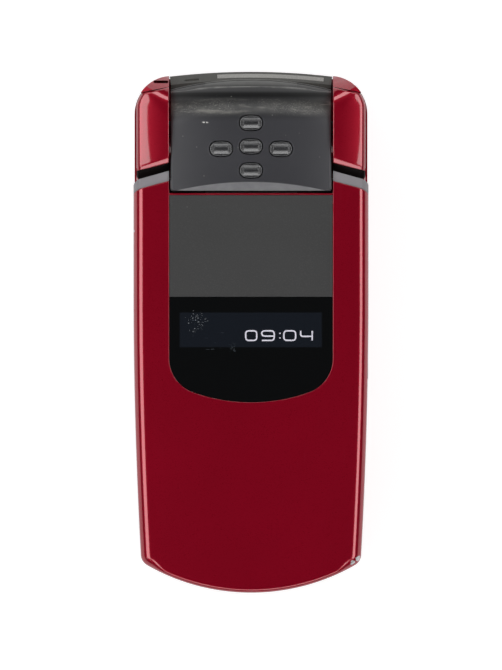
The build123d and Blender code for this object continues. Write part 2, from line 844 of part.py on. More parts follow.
def pressed_key(label, x, y, size):
    """A key: its cap stands through the deck and a flange holds it in."""
    with BuildPart() as key:
        with BuildSketch(Plane.XY.offset(key_bottom_z)):
            with Locations((x, y)):
                Rectangle(size[0] + 2 * key_flange, size[1] + 2 * key_flange)
        extrude(amount=deck_under_z - seam - key_bottom_z)
        with BuildSketch(Plane.XY.offset(key_bottom_z)):
            with Locations((x, y)):
                RectangleRounded(size[0], size[1], key_corner)
        extrude(amount=key_top_z - key_bottom_z)
        chamfer(key.edges().group_by(Axis.Z)[-1], length=key_edge)
    key.part.label = label
    return key


number_names = ("key_1", "key_2", "key_3", "key_4", "key_5", "key_6",
                "key_7", "key_8", "key_9", "key_star", "key_0", "key_hash")
base_keys = []
for index, label in enumerate(number_names):
    column = index % 3 - 1
    row = index // 3
    base_keys.append(pressed_key(
        label, column * number_key_pitch[0], number_rows_y - row * number_key_pitch[1],
        number_key_size,
    ))
for label, x, y in (
    ("soft_key_left", -side_key_x, soft_key_y), ("soft_key_right", side_key_x, soft_key_y),
    ("call_key", -side_key_x, call_key_y), ("end_key", side_key_x, call_key_y),
):
    base_keys.append(pressed_key(label, x, y, side_key_size))
base_keys.append(pressed_key("clear_key", 0, clear_key_y, clear_key_size))

with BuildPart() as nav_key:
    with BuildSketch(Plane.XY.offset(key_bottom_z)):
        with Locations((0, nav_y)):
            Circle(nav_key_radius)
    extrude(amount=key_top_z + 0.2 - key_bottom_z)
    chamfer(nav_key.edges().group_by(Axis.Z)[-1], length=key_edge)
nav_key.part.label = "nav_key"
base_keys.append(nav_key)

with BuildPart() as nav_ring:
    with BuildSketch(Plane.XY.offset(key_bottom_z)):
        with Locations((0, nav_y)):
            Circle(nav_ring_radius + 0.5)
    extrude(amount=deck_under_z - seam - key_bottom_z)
    with BuildSketch(Plane.XY.offset(key_bottom_z)):
        with Locations((0, nav_y)):
            Circle(nav_ring_radius)
    extrude(amount=key_top_z - key_bottom_z)
    with BuildSketch(Plane.XY.offset(key_bottom_z)):
        with Locations((0, nav_y)):
            Circle(nav_hole_radius)
    extrude(amount=tall, mode=Mode.SUBTRACT)
    chamfer(nav_ring.edges().group_by(Axis.Z)[-1], length=key_edge)
nav_ring.part.label = "nav_ring"
base_keys.append(nav_ring)


def side_button(label, side, y, size, pivots):
    """A key in a side wall, side -1 at the left and 1 at the right."""
    face_x = side * (base_x + side_button_proud)
    with BuildPart() as button:
        with BuildSketch(Plane.YZ.offset(face_x)):
            with Locations((y, side_z)):
                RectangleRounded(size[0], size[1], side_button_corner)
        extrude(amount=-side * side_button_thickness)
        inner_x = face_x - side * side_button_thickness
        if pivots:
            # a round rib on its back, about which the key rocks
            with BuildSketch(Plane.XY.offset(side_z - size[1] / 4)):
                with Locations((inner_x + side * (rocker_pivot_radius - side_button_lug), y)):
                    Circle(rocker_pivot_radius)
            extrude(amount=size[1] / 2)
        else:
            with BuildSketch(Plane.YZ.offset(inner_x)):
                with Locations((y, side_z)):
                    Rectangle(size[1], size[1] / 2)
            extrude(amount=-side * side_button_lug)
    button.part.label = label
    return button


base_keys.append(side_button("volume_rocker", -1, rocker_y, rocker_size, True))
base_keys.append(side_button("camera_key", 1, camera_key_y, camera_key_size, False))

# ==== lid ==================================================================

notch_limit = block(-shoulder_x, shoulder_x, notch_y, end_y + 5, -1, tall)
lid_top_cut = flared_drum(lid_end_radius, lid_x + 1)
cover_top_cut = flared_drum(cover_end_radius, lid_x + 1)
beyond_hinge = block(-lid_x - 1, lid_x + 1, hinge_y, end_y + 5, -1, tall)
cavity_roof_drop = 1.15


def pocket_plan(inset):
    """Outline of the recess for the trim panel and the window, with a bowed lower end."""
    half = pocket_half - inset
    low = pocket_low_y + inset
    corner_y = low + pocket_arc_radius - sqrt(pocket_arc_radius**2 - half**2)
    with BuildPart() as prism:
        with BuildSketch():
            with BuildLine():
                ThreePointArc((-half, corner_y), (0, low), (half, corner_y))
                Polyline(
                    (half, corner_y), (half, pocket_top_y - inset),
                    (-half, pocket_top_y - inset), (-half, corner_y),
                )
            make_face()
        extrude(amount=-1)
        corners = prism.edges().filter_by(Axis.Z).group_by(Axis.Y)
        fillet(corners[0], radius=pocket_corner_radius - inset)
    return prism.faces().sort_by(Axis.Z)[-1]


def below_lid(drop, plan, depth):
    """A plan sunk into the lid from a level drop below its outer surface."""
    with BuildPart() as sunk:
        with BuildSketch(lid_plane.offset(-drop)):
            add(plan)
        extrude(amount=-depth)
    return sunk.part


lid_cavity = slab(lid_cavity_plan, lid_z + lid_wall, tall)

with BuildPart() as lid_space:
    add(lid_cavity)
    add(crown_solid(cavity_roof_drop), mode=Mode.INTERSECT)
    # a border stands round the pocket, as a floor for the panel and the window
    add(below_lid(-5, pocket_plan(-1.0), 5 + pocket_depth + 1.0), mode=Mode.SUBTRACT)
    add(flared_drum(cover_end_radius + lid_wall, lid_x + 1), mode=Mode.SUBTRACT)
    add(beyond_hinge, mode=Mode.SUBTRACT)
    add(block(-shoulder_x - 1.2, shoulder_x + 1.2, notch_y - 1.2, end_y, -1, tall),
        mode=Mode.SUBTRACT)

with BuildPart() as flip_outer_cover:
    add(lid_form)
    add(block(-lid_x - 1, lid_x + 1, -end_y - 1, end_y, -1, lid_split_z + seam),
        mode=Mode.SUBTRACT)
    add(cover_top_cut, mode=Mode.SUBTRACT)
    add(beyond_hinge, mode=Mode.SUBTRACT)
    add(notch_limit, mode=Mode.SUBTRACT)
    add(lid_space.part, mode=Mode.SUBTRACT)
    add(below_lid(-5, pocket_plan(0), 5 + pocket_depth), mode=Mode.SUBTRACT)
    # window for the display behind
    with BuildSketch(lid_plane):
        with Locations((0, outer_display_y)):
            Rectangle(outer_display_size[0] + 0.4, outer_display_size[1] + 0.4)
    extrude(amount=-tall, mode=Mode.SUBTRACT)

lid_hollow_end_y = hinge_y - flared(cover_end_radius, lid_x) - lid_wall
bumper_places = [
    (bumper_from_side[0] - lid_x, bumper_from_end - end_y),
    (lid_x - bumper_from_side[0], bumper_from_end - end_y),
    (bumper_from_side[1] - lid_x, lid_hollow_end_y - bumper_from_end_wall),
    (lid_x - bumper_from_side[1], lid_hollow_end_y - bumper_from_end_wall),
]
earpiece_y = earpiece_from_end - end_y
inner_roof_z = lid_z + lid_wall

with BuildPart() as lid_end_bands:
    add(lid_form)
    add(crown_solid(end_band_drop), mode=Mode.INTERSECT)
    add(flared_drum(cover_end_radius - cover_end_gap, lid_x + 1), mode=Mode.INTERSECT)

with BuildPart() as flip_inner_case:
    add(lid_form)
    add(block(-lid_x - 1, lid_x + 1, -end_y - 1, end_y, -1, lid_split_z), mode=Mode.INTERSECT)
    # hollow inside, closed at the hinge end and round the notch
    with BuildSketch(Plane.XY.offset(inner_roof_z)):
        add(lid_cavity_plan)
        with Locations((0, lid_hollow_end_y)):
            Rectangle(3 * lid_x, 2 * phone_length, align=(Align.CENTER, Align.MIN),
                      mode=Mode.SUBTRACT)
        with Locations((0, notch_y - lid_wall)):
            Rectangle(2 * (shoulder_x + lid_wall), phone_length,
                      align=(Align.CENTER, Align.MIN), mode=Mode.SUBTRACT)
    extrude(amount=tall, mode=Mode.SUBTRACT)
    add(lid_end_bands.part)
    add(notch_limit, mode=Mode.SUBTRACT)
    add(lid_top_cut, mode=Mode.SUBTRACT)
    add(beyond_hinge, mode=Mode.SUBTRACT)
    # recess and opening for the inner window and display
    with BuildSketch(Plane.XY.offset(lid_z)):
        with Locations((0, main_window_y)):
            RectangleRounded(main_window_size[0] + 2 * fit, main_window_size[1] + 2 * fit, 2.0)
    extrude(amount=window_recess, mode=Mode.SUBTRACT)
    with BuildSketch(Plane.XY.offset(lid_z)):
        with Locations((0, main_window_y)):
            Rectangle(main_display_size[0] + 2 * fit, main_display_size[1] + 2 * fit)
        with Locations((0, earpiece_y)):
            with GridLocations(0, earpiece_slot_pitch, 1, 3):
                SlotOverall(*earpiece_slot)
        with Locations(*bumper_places):
            Circle(screw_shank_radius + fit)
    extrude(amount=lid_wall + 0.1, mode=Mode.SUBTRACT)
    with BuildSketch(Plane.XY.offset(lid_z)):
        with Locations(*bumper_places):
            Circle(bumper_radius + 0.05)
    extrude(amount=bumper_recess, mode=Mode.SUBTRACT)

flip_pieces = []


def trim_plate(label, plan, low_y, high_y):
    """A plate that lies in the lid's pocket, flush with the crowned surface."""
    with BuildPart() as plate:
        add(below_lid(-5, plan, 5 + pocket_depth))
        add(crown_solid(pocket_cover_drop), mode=Mode.INTERSECT)
        add(block(-lid_x, lid_x, low_y, high_y, -1, tall), mode=Mode.INTERSECT)
    plate.part.label = label
    return plate


flip_pieces.append(trim_plate("flip_trim_panel", pocket_plan(0.08), panel_split_y, end_y))
flip_pieces.append(trim_plate(
    "sub_display_window", pocket_plan(0.08), -end_y, panel_split_y - panel_split_gap
))


with BuildPart() as main_display_window:
    with BuildSketch(Plane.XY.offset(lid_z)):
        with Locations((0, main_window_y)):
            RectangleRounded(main_window_size[0], main_window_size[1], 1.9)
    extrude(amount=window_recess - 0.05)
    chamfer(main_display_window.edges().group_by(Axis.Z)[0], length=0.15)

with BuildPart() as main_display:
    with BuildSketch(Plane.XY.offset(lid_z + window_recess)):
        with Locations((0, main_window_y)):
            Rectangle(*main_display_size)
    extrude(amount=main_display_thickness)

with BuildPart() as earpiece:
    with BuildSketch(Plane.XY.offset(inner_roof_z + seam)):
        with Locations((0, earpiece_y)):
            RectangleRounded(earpiece_size[0], earpiece_size[1], 2.0)
    extrude(amount=earpiece_size[2])
    chamfer(earpiece.edges().group_by(Axis.Z)[-1], length=0.3)

lid_board_z = lid_z + window_recess + main_display_thickness + 0.3
lid_board_thickness = board_thickness
pocket_floor_z = lid_mid_z - pocket_depth

with BuildPart() as flip_board:
    with BuildSketch(Plane.XY.offset(lid_board_z)):
        add(outline(lid_width, False, lid_wall + board_edge_gap))
        with Locations((0, notch_y - lid_wall - board_edge_gap)):
            Rectangle(3 * lid_x, phone_length, align=(Align.CENTER, Align.MIN),
                      mode=Mode.SUBTRACT)
        with Locations(*bumper_places):
            Circle(board_hole_radius, mode=Mode.SUBTRACT)
    extrude(amount=lid_board_thickness)

with BuildPart() as sub_display:
    with BuildSketch(Plane.XY.offset(lid_board_z + lid_board_thickness)):
        with Locations((0, outer_display_y)):
            Rectangle(*outer_display_size)
    extrude(amount=pocket_floor_z - 0.3 - lid_board_z - lid_board_thickness)

with BuildPart() as flip_bumpers:
    with BuildSketch(Plane.XY.offset(deck_z + seam)):
        with Locations(*bumper_places):
            Circle(bumper_radius)
    extrude(amount=lid_gap - seam + bumper_recess)
    chamfer(flip_bumpers.edges().group_by(Axis.Z)[0], length=0.25)

with BuildPart() as flip_screws:
    with BuildSketch(Plane.XY.offset(lid_z + bumper_recess + 0.02)):
        with Locations(*bumper_places):
            Circle(screw_shank_radius)
    extrude(amount=lid_split)

# ==== hinge module of the lid ==============================================

crown_sag = barrel_crown_radius - sqrt(barrel_crown_radius**2 - barrel_x**2)
facet_back_y = hinge_y - facet_back_from_axis
facet_back_z = hinge_z + sqrt(barrel_radius**2 - facet_back_from_axis**2) + crease_step
facet_front_y = hinge_y - facet_front_from_axis
module_front_y = facet_front_y - bevel_depth
facet_tangent = (facet_back_z - facet_front_z) / (facet_back_y - facet_front_y)
facet_drop = facet_tangent * bevel_depth + crown_sag
facet_norm = sqrt(1 + facet_tangent**2)

with BuildPart() as barrel_form:
    with BuildSketch(axis_plane):
        with BuildLine():
            ThreePointArc(
                (-barrel_x, barrel_radius - crown_sag), (0, barrel_radius),
                (barrel_x, barrel_radius - crown_sag),
            )
            Polyline(
                (barrel_x, barrel_radius - crown_sag), (barrel_x, 0), (-barrel_x, 0),
                (-barrel_x, barrel_radius - crown_sag),
            )
        make_face()
    revolve(axis=hinge_line)

facet_section = Plane(
    origin=(0, facet_back_y, facet_back_z),
    x_dir=(1, 0, 0),
    z_dir=(0, -1 / facet_norm, -facet_tangent / facet_norm),
)

with BuildPart() as module_form:
    with BuildSketch(facet_section):
        with BuildLine():
            ThreePointArc((-barrel_x, -crown_sag), (0, 0), (barrel_x, -crown_sag))
            Polyline(
                (barrel_x, -crown_sag), (barrel_x, -tall / 2), (-barrel_x, -tall / 2),
                (-barrel_x, -crown_sag),
            )
        make_face()
    extrude(amount=facet_front_from_axis + bevel_depth + 4)
    add(barrel_form.part)
    # the front end, with its bevel
    with BuildSketch(Plane.YZ.offset(-barrel_x - 1)):
        with BuildLine():
            Polyline(
                (module_front_y, module_split_z), (module_front_y, facet_front_z - facet_drop),
                (facet_front_y, facet_front_z), (facet_front_y, tall),
                (end_y, tall), (end_y, module_split_z), close=True,
            )
        make_face()
    extrude(amount=barrel_width + 2, mode=Mode.INTERSECT)

cam_bore = hinge_drum(
    cam_unit_radius + seam, -barrel_x - 1, -barrel_x + cam_unit_length + 2 * fit
)
pin_bore = hinge_drum(
    hinge_pin_radius + hinge_running_gap, barrel_x - pin_reach - fit, barrel_x + 1
)
module_ceiling_z = facet_front_z - module_shell
module_space_half = 11.0
music_flange = 0.4
music_flange_top_z = module_ceiling_z - 0.08

with BuildPart() as hinge_module_cover:
    add(module_form.part)
    add(cam_bore, mode=Mode.SUBTRACT)
    add(block(
        -module_space_half, module_space_half, module_front_y + 1.0, hinge_y + 3.6,
        hinge_z + cam_unit_radius + 0.4, module_ceiling_z,
    ), mode=Mode.SUBTRACT)
    with BuildSketch(Plane.XY.offset(module_ceiling_z - 0.1)):
        with Locations(*[(x, hinge_y + y) for x, y in music_key_places.values()]):
            SlotOverall(music_key_length + 2 * music_key_gap, music_key_width + 2 * music_key_gap)
    extrude(amount=tall, mode=Mode.SUBTRACT)

with BuildPart() as hinge_barrel:
    add(barrel_form.part)
    add(block(-barrel_x + fit, barrel_x - fit, notch_y + seam, hinge_y, lid_z, tall))
    add(block(-lid_x, lid_x, -end_y, end_y + 1, module_split_z - seam, tall),
        mode=Mode.SUBTRACT)
    add(cam_bore, mode=Mode.SUBTRACT)
    add(pin_bore, mode=Mode.SUBTRACT)

with BuildPart() as hinge_cam_unit:
    add(hinge_drum(cam_unit_radius, -barrel_x + fit, -barrel_x + fit + cam_unit_length))
    add(hinge_drum(hinge_pin_radius + hinge_running_gap, -barrel_x, -barrel_x + pin_reach + fit),
        mode=Mode.SUBTRACT)

raised_module = module_form.part.moved(Location((0, 0, music_key_proud)))


def music_key(label, x, y):
    """An oval key that follows the module's surface, with a shallow dish in its top."""
    key_y = hinge_y + y
    crown_drop = barrel_crown_radius - sqrt(barrel_crown_radius**2 - x**2)
    surface_z = facet_front_z + facet_tangent * (y + facet_front_from_axis) - crown_drop
    with BuildPart() as key:
        with BuildSketch(Plane.XY.offset(music_flange_top_z)):
            with Locations((x, key_y)):
                SlotOverall(music_key_length, music_key_width)
        extrude(amount=tall / 4)
        add(raised_module, mode=Mode.INTERSECT)
        with BuildSketch(Plane.XY.offset(surface_z + music_key_proud - 0.3)):
            with Locations((x, key_y)):
                SlotOverall(music_key_length - 2.0, music_key_width - 1.7)
        extrude(amount=1.0, taper=-30, mode=Mode.SUBTRACT)
        with BuildSketch(Plane.XY.offset(music_flange_top_z)):
            with Locations((x, key_y)):
                SlotOverall(music_key_length + 2 * music_flange, music_key_width + 2 * music_flange)
        extrude(amount=-0.6)
    key.part.label = label
    return key


for place, (x, y) in music_key_places.items():
    flip_pieces.append(music_key("music_key_" + place, x, y))


def export(piece, label):
    """Names a finished piece and writes its STEP file."""
    piece.part.label = label
    export_step(piece.part, "parts/" + label + ".step")


for label, piece in (
    ("base_rear_case", base_rear_case),
    ("battery_cover", battery_cover),
    ("battery", battery),
    ("base_front_case", base_front_case),
    ("left_shoulder", left_shoulder),
    ("right_shoulder", right_shoulder),
    ("top_end_cover", top_end_cover),
    ("top_end_window", top_end_window),
    ("main_board", main_board),
    ("keypad_dome_sheet", keypad_dome_sheet),
    ("shield_can", shield_can),
    ("loudspeaker", loudspeaker),
    ("antenna", antenna),
    ("vibration_motor", vibration_motor),
    ("system_connector", system_connector),
    ("microphone", microphone),
    ("camera_module", camera_module),
    ("camera_window", camera_window),
    ("case_screws", case_screws),
    ("hinge_pins", hinge_pins),
    ("flip_outer_cover", flip_outer_cover),
    ("flip_inner_case", flip_inner_case),
    ("main_display_window", main_display_window),
    ("main_display", main_display),
    ("earpiece", earpiece),
    ("flip_board", flip_board),
    ("sub_display", sub_display),
    ("flip_bumpers", flip_bumpers),
    ("flip_screws", flip_screws),
    ("hinge_module_cover", hinge_module_cover),
    ("hinge_barrel", hinge_barrel),
    ("hinge_cam_unit", hinge_cam_unit),
):
    export(piece, label)
for piece in base_keys + flip_pieces:
    export(piece, piece.part.label)
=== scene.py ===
import json

import bpy
import numpy as np
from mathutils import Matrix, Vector


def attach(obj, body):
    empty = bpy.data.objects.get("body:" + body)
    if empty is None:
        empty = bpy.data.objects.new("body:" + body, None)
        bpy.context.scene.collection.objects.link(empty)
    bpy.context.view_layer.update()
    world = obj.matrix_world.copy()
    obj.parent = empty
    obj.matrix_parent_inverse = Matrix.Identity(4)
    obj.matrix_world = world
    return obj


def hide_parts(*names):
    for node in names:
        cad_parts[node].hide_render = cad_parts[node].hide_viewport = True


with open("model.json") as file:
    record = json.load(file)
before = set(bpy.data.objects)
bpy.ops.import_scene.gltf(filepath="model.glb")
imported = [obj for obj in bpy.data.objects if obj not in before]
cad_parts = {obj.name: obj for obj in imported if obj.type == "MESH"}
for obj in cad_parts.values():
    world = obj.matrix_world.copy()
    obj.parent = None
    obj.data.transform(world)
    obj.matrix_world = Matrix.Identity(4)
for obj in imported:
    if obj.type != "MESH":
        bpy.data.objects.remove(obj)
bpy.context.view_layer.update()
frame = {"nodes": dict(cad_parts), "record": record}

MM = 0.001

# sizes of the phone, in millimetres, as its solids have them
END_Y = 54.4
LID_X = 24.5
HINGE_Y, HINGE_Z = 42.5, 11.5
NOTCH_X, NOTCH_Y = 17.1, 28.9
POCKET_X, POCKET_TOP_Y = 17.05, 28.5
LID_SPLIT_Z = 14.65
LID_DRUM, SHOULDER_DRUM, DRUM_FLARE = 13.1, 10.95, 0.2
SHOULDER_IN, SHOULDER_OUT, SHOULDER_SLANT = 17.1, 23.85, 0.26
BARREL_RADIUS, BARREL_CROWN = 10.2, 66.0
FACET_FRONT_Y, FACET_FRONT_Z = 31.15, 20.9
FACET_SLOPE, FACET_CROWN = 0.032, 79.0


def maths(tree, operation, first, second):
    """The result of a maths node, each input a number or another node's result."""
    node = tree.nodes.new("ShaderNodeMath")
    node.operation = operation
    for socket, value in zip(node.inputs, (first, second)):
        if isinstance(value, (int, float)):
            socket.default_value = value
        else:
            tree.links.new(value, socket)
    return node.outputs[0]


# ==== camera, floor and light ===============================================

def look_down_camera():
    """Straight above the phone and far off, with the hinged end at the top of the picture."""
    distance = 4.0
    view_height = 139.7 * MM
    middle_y, lid_z = -0.67 * MM, 16 * MM
    data = bpy.data.cameras.new("camera")
    data.sensor_width = 36
    data.lens = data.sensor_width * distance / view_height
    data.clip_end = 60.0
    camera = bpy.data.objects.new("camera", data)
    camera.location = (0.0, middle_y, lid_z + distance)
    bpy.context.scene.collection.objects.link(camera)
    bpy.context.scene.camera = camera


def softbox(name, azimuth, elevation, width, height, brightness):
    """A rectangular lamp aimed at the phone from 0.8 m, at the brightness it shows in gloss.

    azimuth 0 is behind the hinged end and 90 is at the right; angles are in degrees.
    """
    away = 0.8
    a, e = np.radians(azimuth), np.radians(elevation)
    place = away * np.array([np.sin(a) * np.cos(e), np.cos(a) * np.cos(e), np.sin(e)])
    data = bpy.data.lights.new(name, "AREA")
    data.shape = "RECTANGLE"
    data.size = width
    data.size_y = height
    data.energy = brightness * np.pi * width * height
    lamp = bpy.data.objects.new(name, data)
    lamp.location = place
    aim = Vector((0, 0, 0.01)) - Vector(place)
    lamp.rotation_euler = aim.to_track_quat("-Z", "Y").to_euler()
    bpy.context.scene.collection.objects.link(lamp)


def world_light(strength):
    """A dim surround that shows white behind the floor, and in gloss just over the horizon."""
    horizon = 0.05
    world = bpy.data.worlds.new("surround")
    world.use_nodes = True
    tree = world.node_tree
    back = tree.nodes["Background"]
    back.inputs["Color"].default_value = (1, 1, 1, 1)
    path = tree.nodes.new("ShaderNodeLightPath")
    split = tree.nodes.new("ShaderNodeSeparateXYZ")
    tree.links.new(tree.nodes.new("ShaderNodeTexCoord").outputs["Generated"], split.inputs[0])
    low = maths(tree, "LESS_THAN", split.outputs["Z"], horizon)
    low = maths(tree, "MULTIPLY", path.outputs["Is Glossy Ray"], low)
    seen = maths(
        tree, "MAXIMUM", path.outputs["Is Camera Ray"], path.outputs["Is Transmission Ray"]
    )
    seen = maths(tree, "MAXIMUM", seen, low)
    tree.links.new(maths(tree, "MAXIMUM", seen, strength), back.inputs["Strength"])
    bpy.context.scene.world = world


def pale_floor():
    """A flat floor, white to the camera and through glass and dimmer in gloss.

    It glows to those rays only, and its own grey takes the lamps' light and the shadow.
    """
    half = 15.0
    grey, glow_seen, glow_in_gloss = 0.5, 0.76, 0.4
    mesh = bpy.data.meshes.new("floor")
    corners = [(-half, -half, 0), (half, -half, 0), (half, half, 0), (-half, half, 0)]
    mesh.from_pydata(corners, [], [(0, 1, 2, 3)])
    floor = bpy.data.objects.new("floor", mesh)
    bpy.context.scene.collection.objects.link(floor)
    material = bpy.data.materials.new("floor_white")
    material.use_nodes = True
    tree = material.node_tree
    tree.nodes.clear()
    out = tree.nodes.new("ShaderNodeOutputMaterial")
    add = tree.nodes.new("ShaderNodeAddShader")
    diffuse = tree.nodes.new("ShaderNodeBsdfDiffuse")
    glow = tree.nodes.new("ShaderNodeEmission")
    path = tree.nodes.new("ShaderNodeLightPath")
    diffuse.inputs["Color"].default_value = (grey, grey, grey, 1)
    glow.inputs["Color"].default_value = (1, 1, 1, 1)
    seen = maths(
        tree, "MAXIMUM", path.outputs["Is Camera Ray"], path.outputs["Is Transmission Ray"]
    )
    seen = maths(tree, "MULTIPLY", seen, glow_seen)
    glossed = maths(tree, "MULTIPLY", path.outputs["Is Glossy Ray"], glow_in_gloss)
    tree.links.new(maths(tree, "MAXIMUM", seen, glossed), glow.inputs["Strength"])
    tree.links.new(diffuse.outputs[0], add.inputs[0])
    tree.links.new(glow.outputs[0], add.inputs[1])
    tree.links.new(add.outputs[0], out.inputs["Surface"])
    floor.data.materials.append(material)


bpy.context.scene.view_settings.view_transform = "Standard"
look_down_camera()
pale_floor()
world_light(0.012)
softbox("left_box", -90, 49, 1.0, 0.46, 2.4)
softbox("right_box", 90, 49, 1.0, 0.34, 2.5)
softbox("top_box", 0, 40, 0.9, 0.2, 2.6)
softbox("low_box", 180, 38, 0.9, 0.2, 2.4)


# ==== materials =============================================================

def srgb(red, green, blue):
    """A colour given on the 0 to 255 screen scale, as linear light."""
    value = np.array([red, green, blue]) / 255
    linear = np.where(value <= 0.04045, value / 12.92, ((value + 0.055) / 1.055) ** 2.4)
    return (*[float(x) for x in linear], 1.0)


class Finish:
    """A material, its principled shader and the small pattern nodes that feed it."""

    def __init__(self, name, colour, roughness, metallic=0.0):
        self.material = bpy.data.materials.new(name)
        self.material.use_nodes = True
        self.tree = self.material.node_tree
        self.shader = self.tree.nodes["Principled BSDF"]
        self.set("Base Color", colour)
        self.set("Roughness", roughness)
        self.set("Metallic", metallic)
        self.place = self.tree.nodes.new("ShaderNodeTexCoord").outputs["Object"]

    def set(self, socket, value):
        """Gives a shader socket one value all over."""
        self.shader.inputs[socket].default_value = value

    def link(self, source, target):
        """Joins a node's result to a socket."""
        self.tree.links.new(source, target)

    def stretched(self, x, y, z):
        """Object position multiplied along each axis."""
        node = self.tree.nodes.new("ShaderNodeMapping")
        node.inputs["Scale"].default_value = (x, y, z)
        self.link(self.place, node.inputs["Vector"])
        return node.outputs["Vector"]

    def noise(self, scale, detail=2.0, place=None):
        """Cloudy noise, scale per metre."""
        node = self.tree.nodes.new("ShaderNodeTexNoise")
        node.inputs["Scale"].default_value = scale
        node.inputs["Detail"].default_value = detail
        self.link(place or self.place, node.inputs["Vector"])
        return node.outputs["Fac"]

    def specks(self, scale, radius, share):
        """Round dots in some of the cells of a cell pattern, as dust lies."""
        cell = self.tree.nodes.new("ShaderNodeTexVoronoi")
        cell.inputs["Scale"].default_value = scale
        self.link(self.place, cell.inputs["Vector"])
        dot = self.band(cell.outputs["Distance"], radius, radius * 0.4)
        pick = self.tree.nodes.new("ShaderNodeSeparateColor")
        self.link(cell.outputs["Color"], pick.inputs["Color"])
        chosen = self.band(pick.outputs["Red"], share, share * 0.98)
        return self.times(dot, chosen)

    def band(self, value, low, high):
        """0 at low, 1 at high, straight between, and held outside."""
        node = self.tree.nodes.new("ShaderNodeMapRange")
        node.inputs["From Min"].default_value = low
        node.inputs["From Max"].default_value = high
        self.link(value, node.inputs["Value"])
        return node.outputs["Result"]

    def between(self, value, rise, fall):
        """1 between a rise and a fall, each a pair of places, lower first."""
        return self.times(self.band(value, *rise), self.band(value, *fall[::-1]))

    def maths(self, operation, first, second):
        """The result of a maths node in this material."""
        return maths(self.tree, operation, first, second)

    def times(self, first, second):
        """Product of two masks or numbers."""
        return self.maths("MULTIPLY", first, second)

    def from_middle(self):
        """Distance from the phone's middle plane, in metres."""
        return self.maths("ABSOLUTE", self.axis("X"), 0.0)

    def axis(self, name):
        """Object position along X, Y or Z, in metres."""
        node = self.tree.nodes.new("ShaderNodeSeparateXYZ")
        self.link(self.place, node.inputs[0])
        return node.outputs[name]

    def near(self, x, y, z, radius, ragged=0.25):
        """1 close to a point and 0 past a ragged radius, all in millimetres."""
        node = self.tree.nodes.new("ShaderNodeVectorMath")
        node.operation = "DISTANCE"
        node.inputs[1].default_value = (x * MM, y * MM, z * MM)
        self.link(self.place, node.inputs[0])
        wobble = self.maths("SUBTRACT", self.noise(2200, 3), 0.5)
        wobble = self.times(wobble, radius * ragged * 6 * MM)
        distance = self.maths("ADD", node.outputs["Value"], wobble)
        return self.band(distance, radius * MM, radius * 0.85 * MM)

    def colours(self, mask, low, high):
        """Blends two colours by a mask."""
        node = self.tree.nodes.new("ShaderNodeMix")
        node.data_type = "RGBA"
        for socket, value in ((node.inputs["A"], low), (node.inputs["B"], high)):
            if isinstance(value, tuple):
                socket.default_value = value
            else:
                self.link(value, socket)
        node.inputs["Factor"].default_value = 0
        self.link(mask, node.inputs["Factor"])
        return node.outputs["Result"]

    def numbers(self, mask, low, high):
        """Blends two numbers by a mask."""
        node = self.tree.nodes.new("ShaderNodeMapRange")
        node.inputs["To Min"].default_value = low
        node.inputs["To Max"].default_value = high
        self.link(mask, node.inputs["Value"])
        return node.outputs["Result"]

    def bump(self, height, depth, strength=1.0):
        """Raises the surface by a pattern, depth in millimetres."""
        node = self.tree.nodes.new("ShaderNodeBump")
        node.inputs["Strength"].default_value = strength
        node.inputs["Distance"].default_value = depth * MM
        self.link(height, node.inputs["Height"])
        self.link(node.outputs["Normal"], self.shader.inputs["Normal"])

    def feed(self, socket, value):
        """Gives a shader socket a pattern."""
        self.link(value, self.shader.inputs[socket])


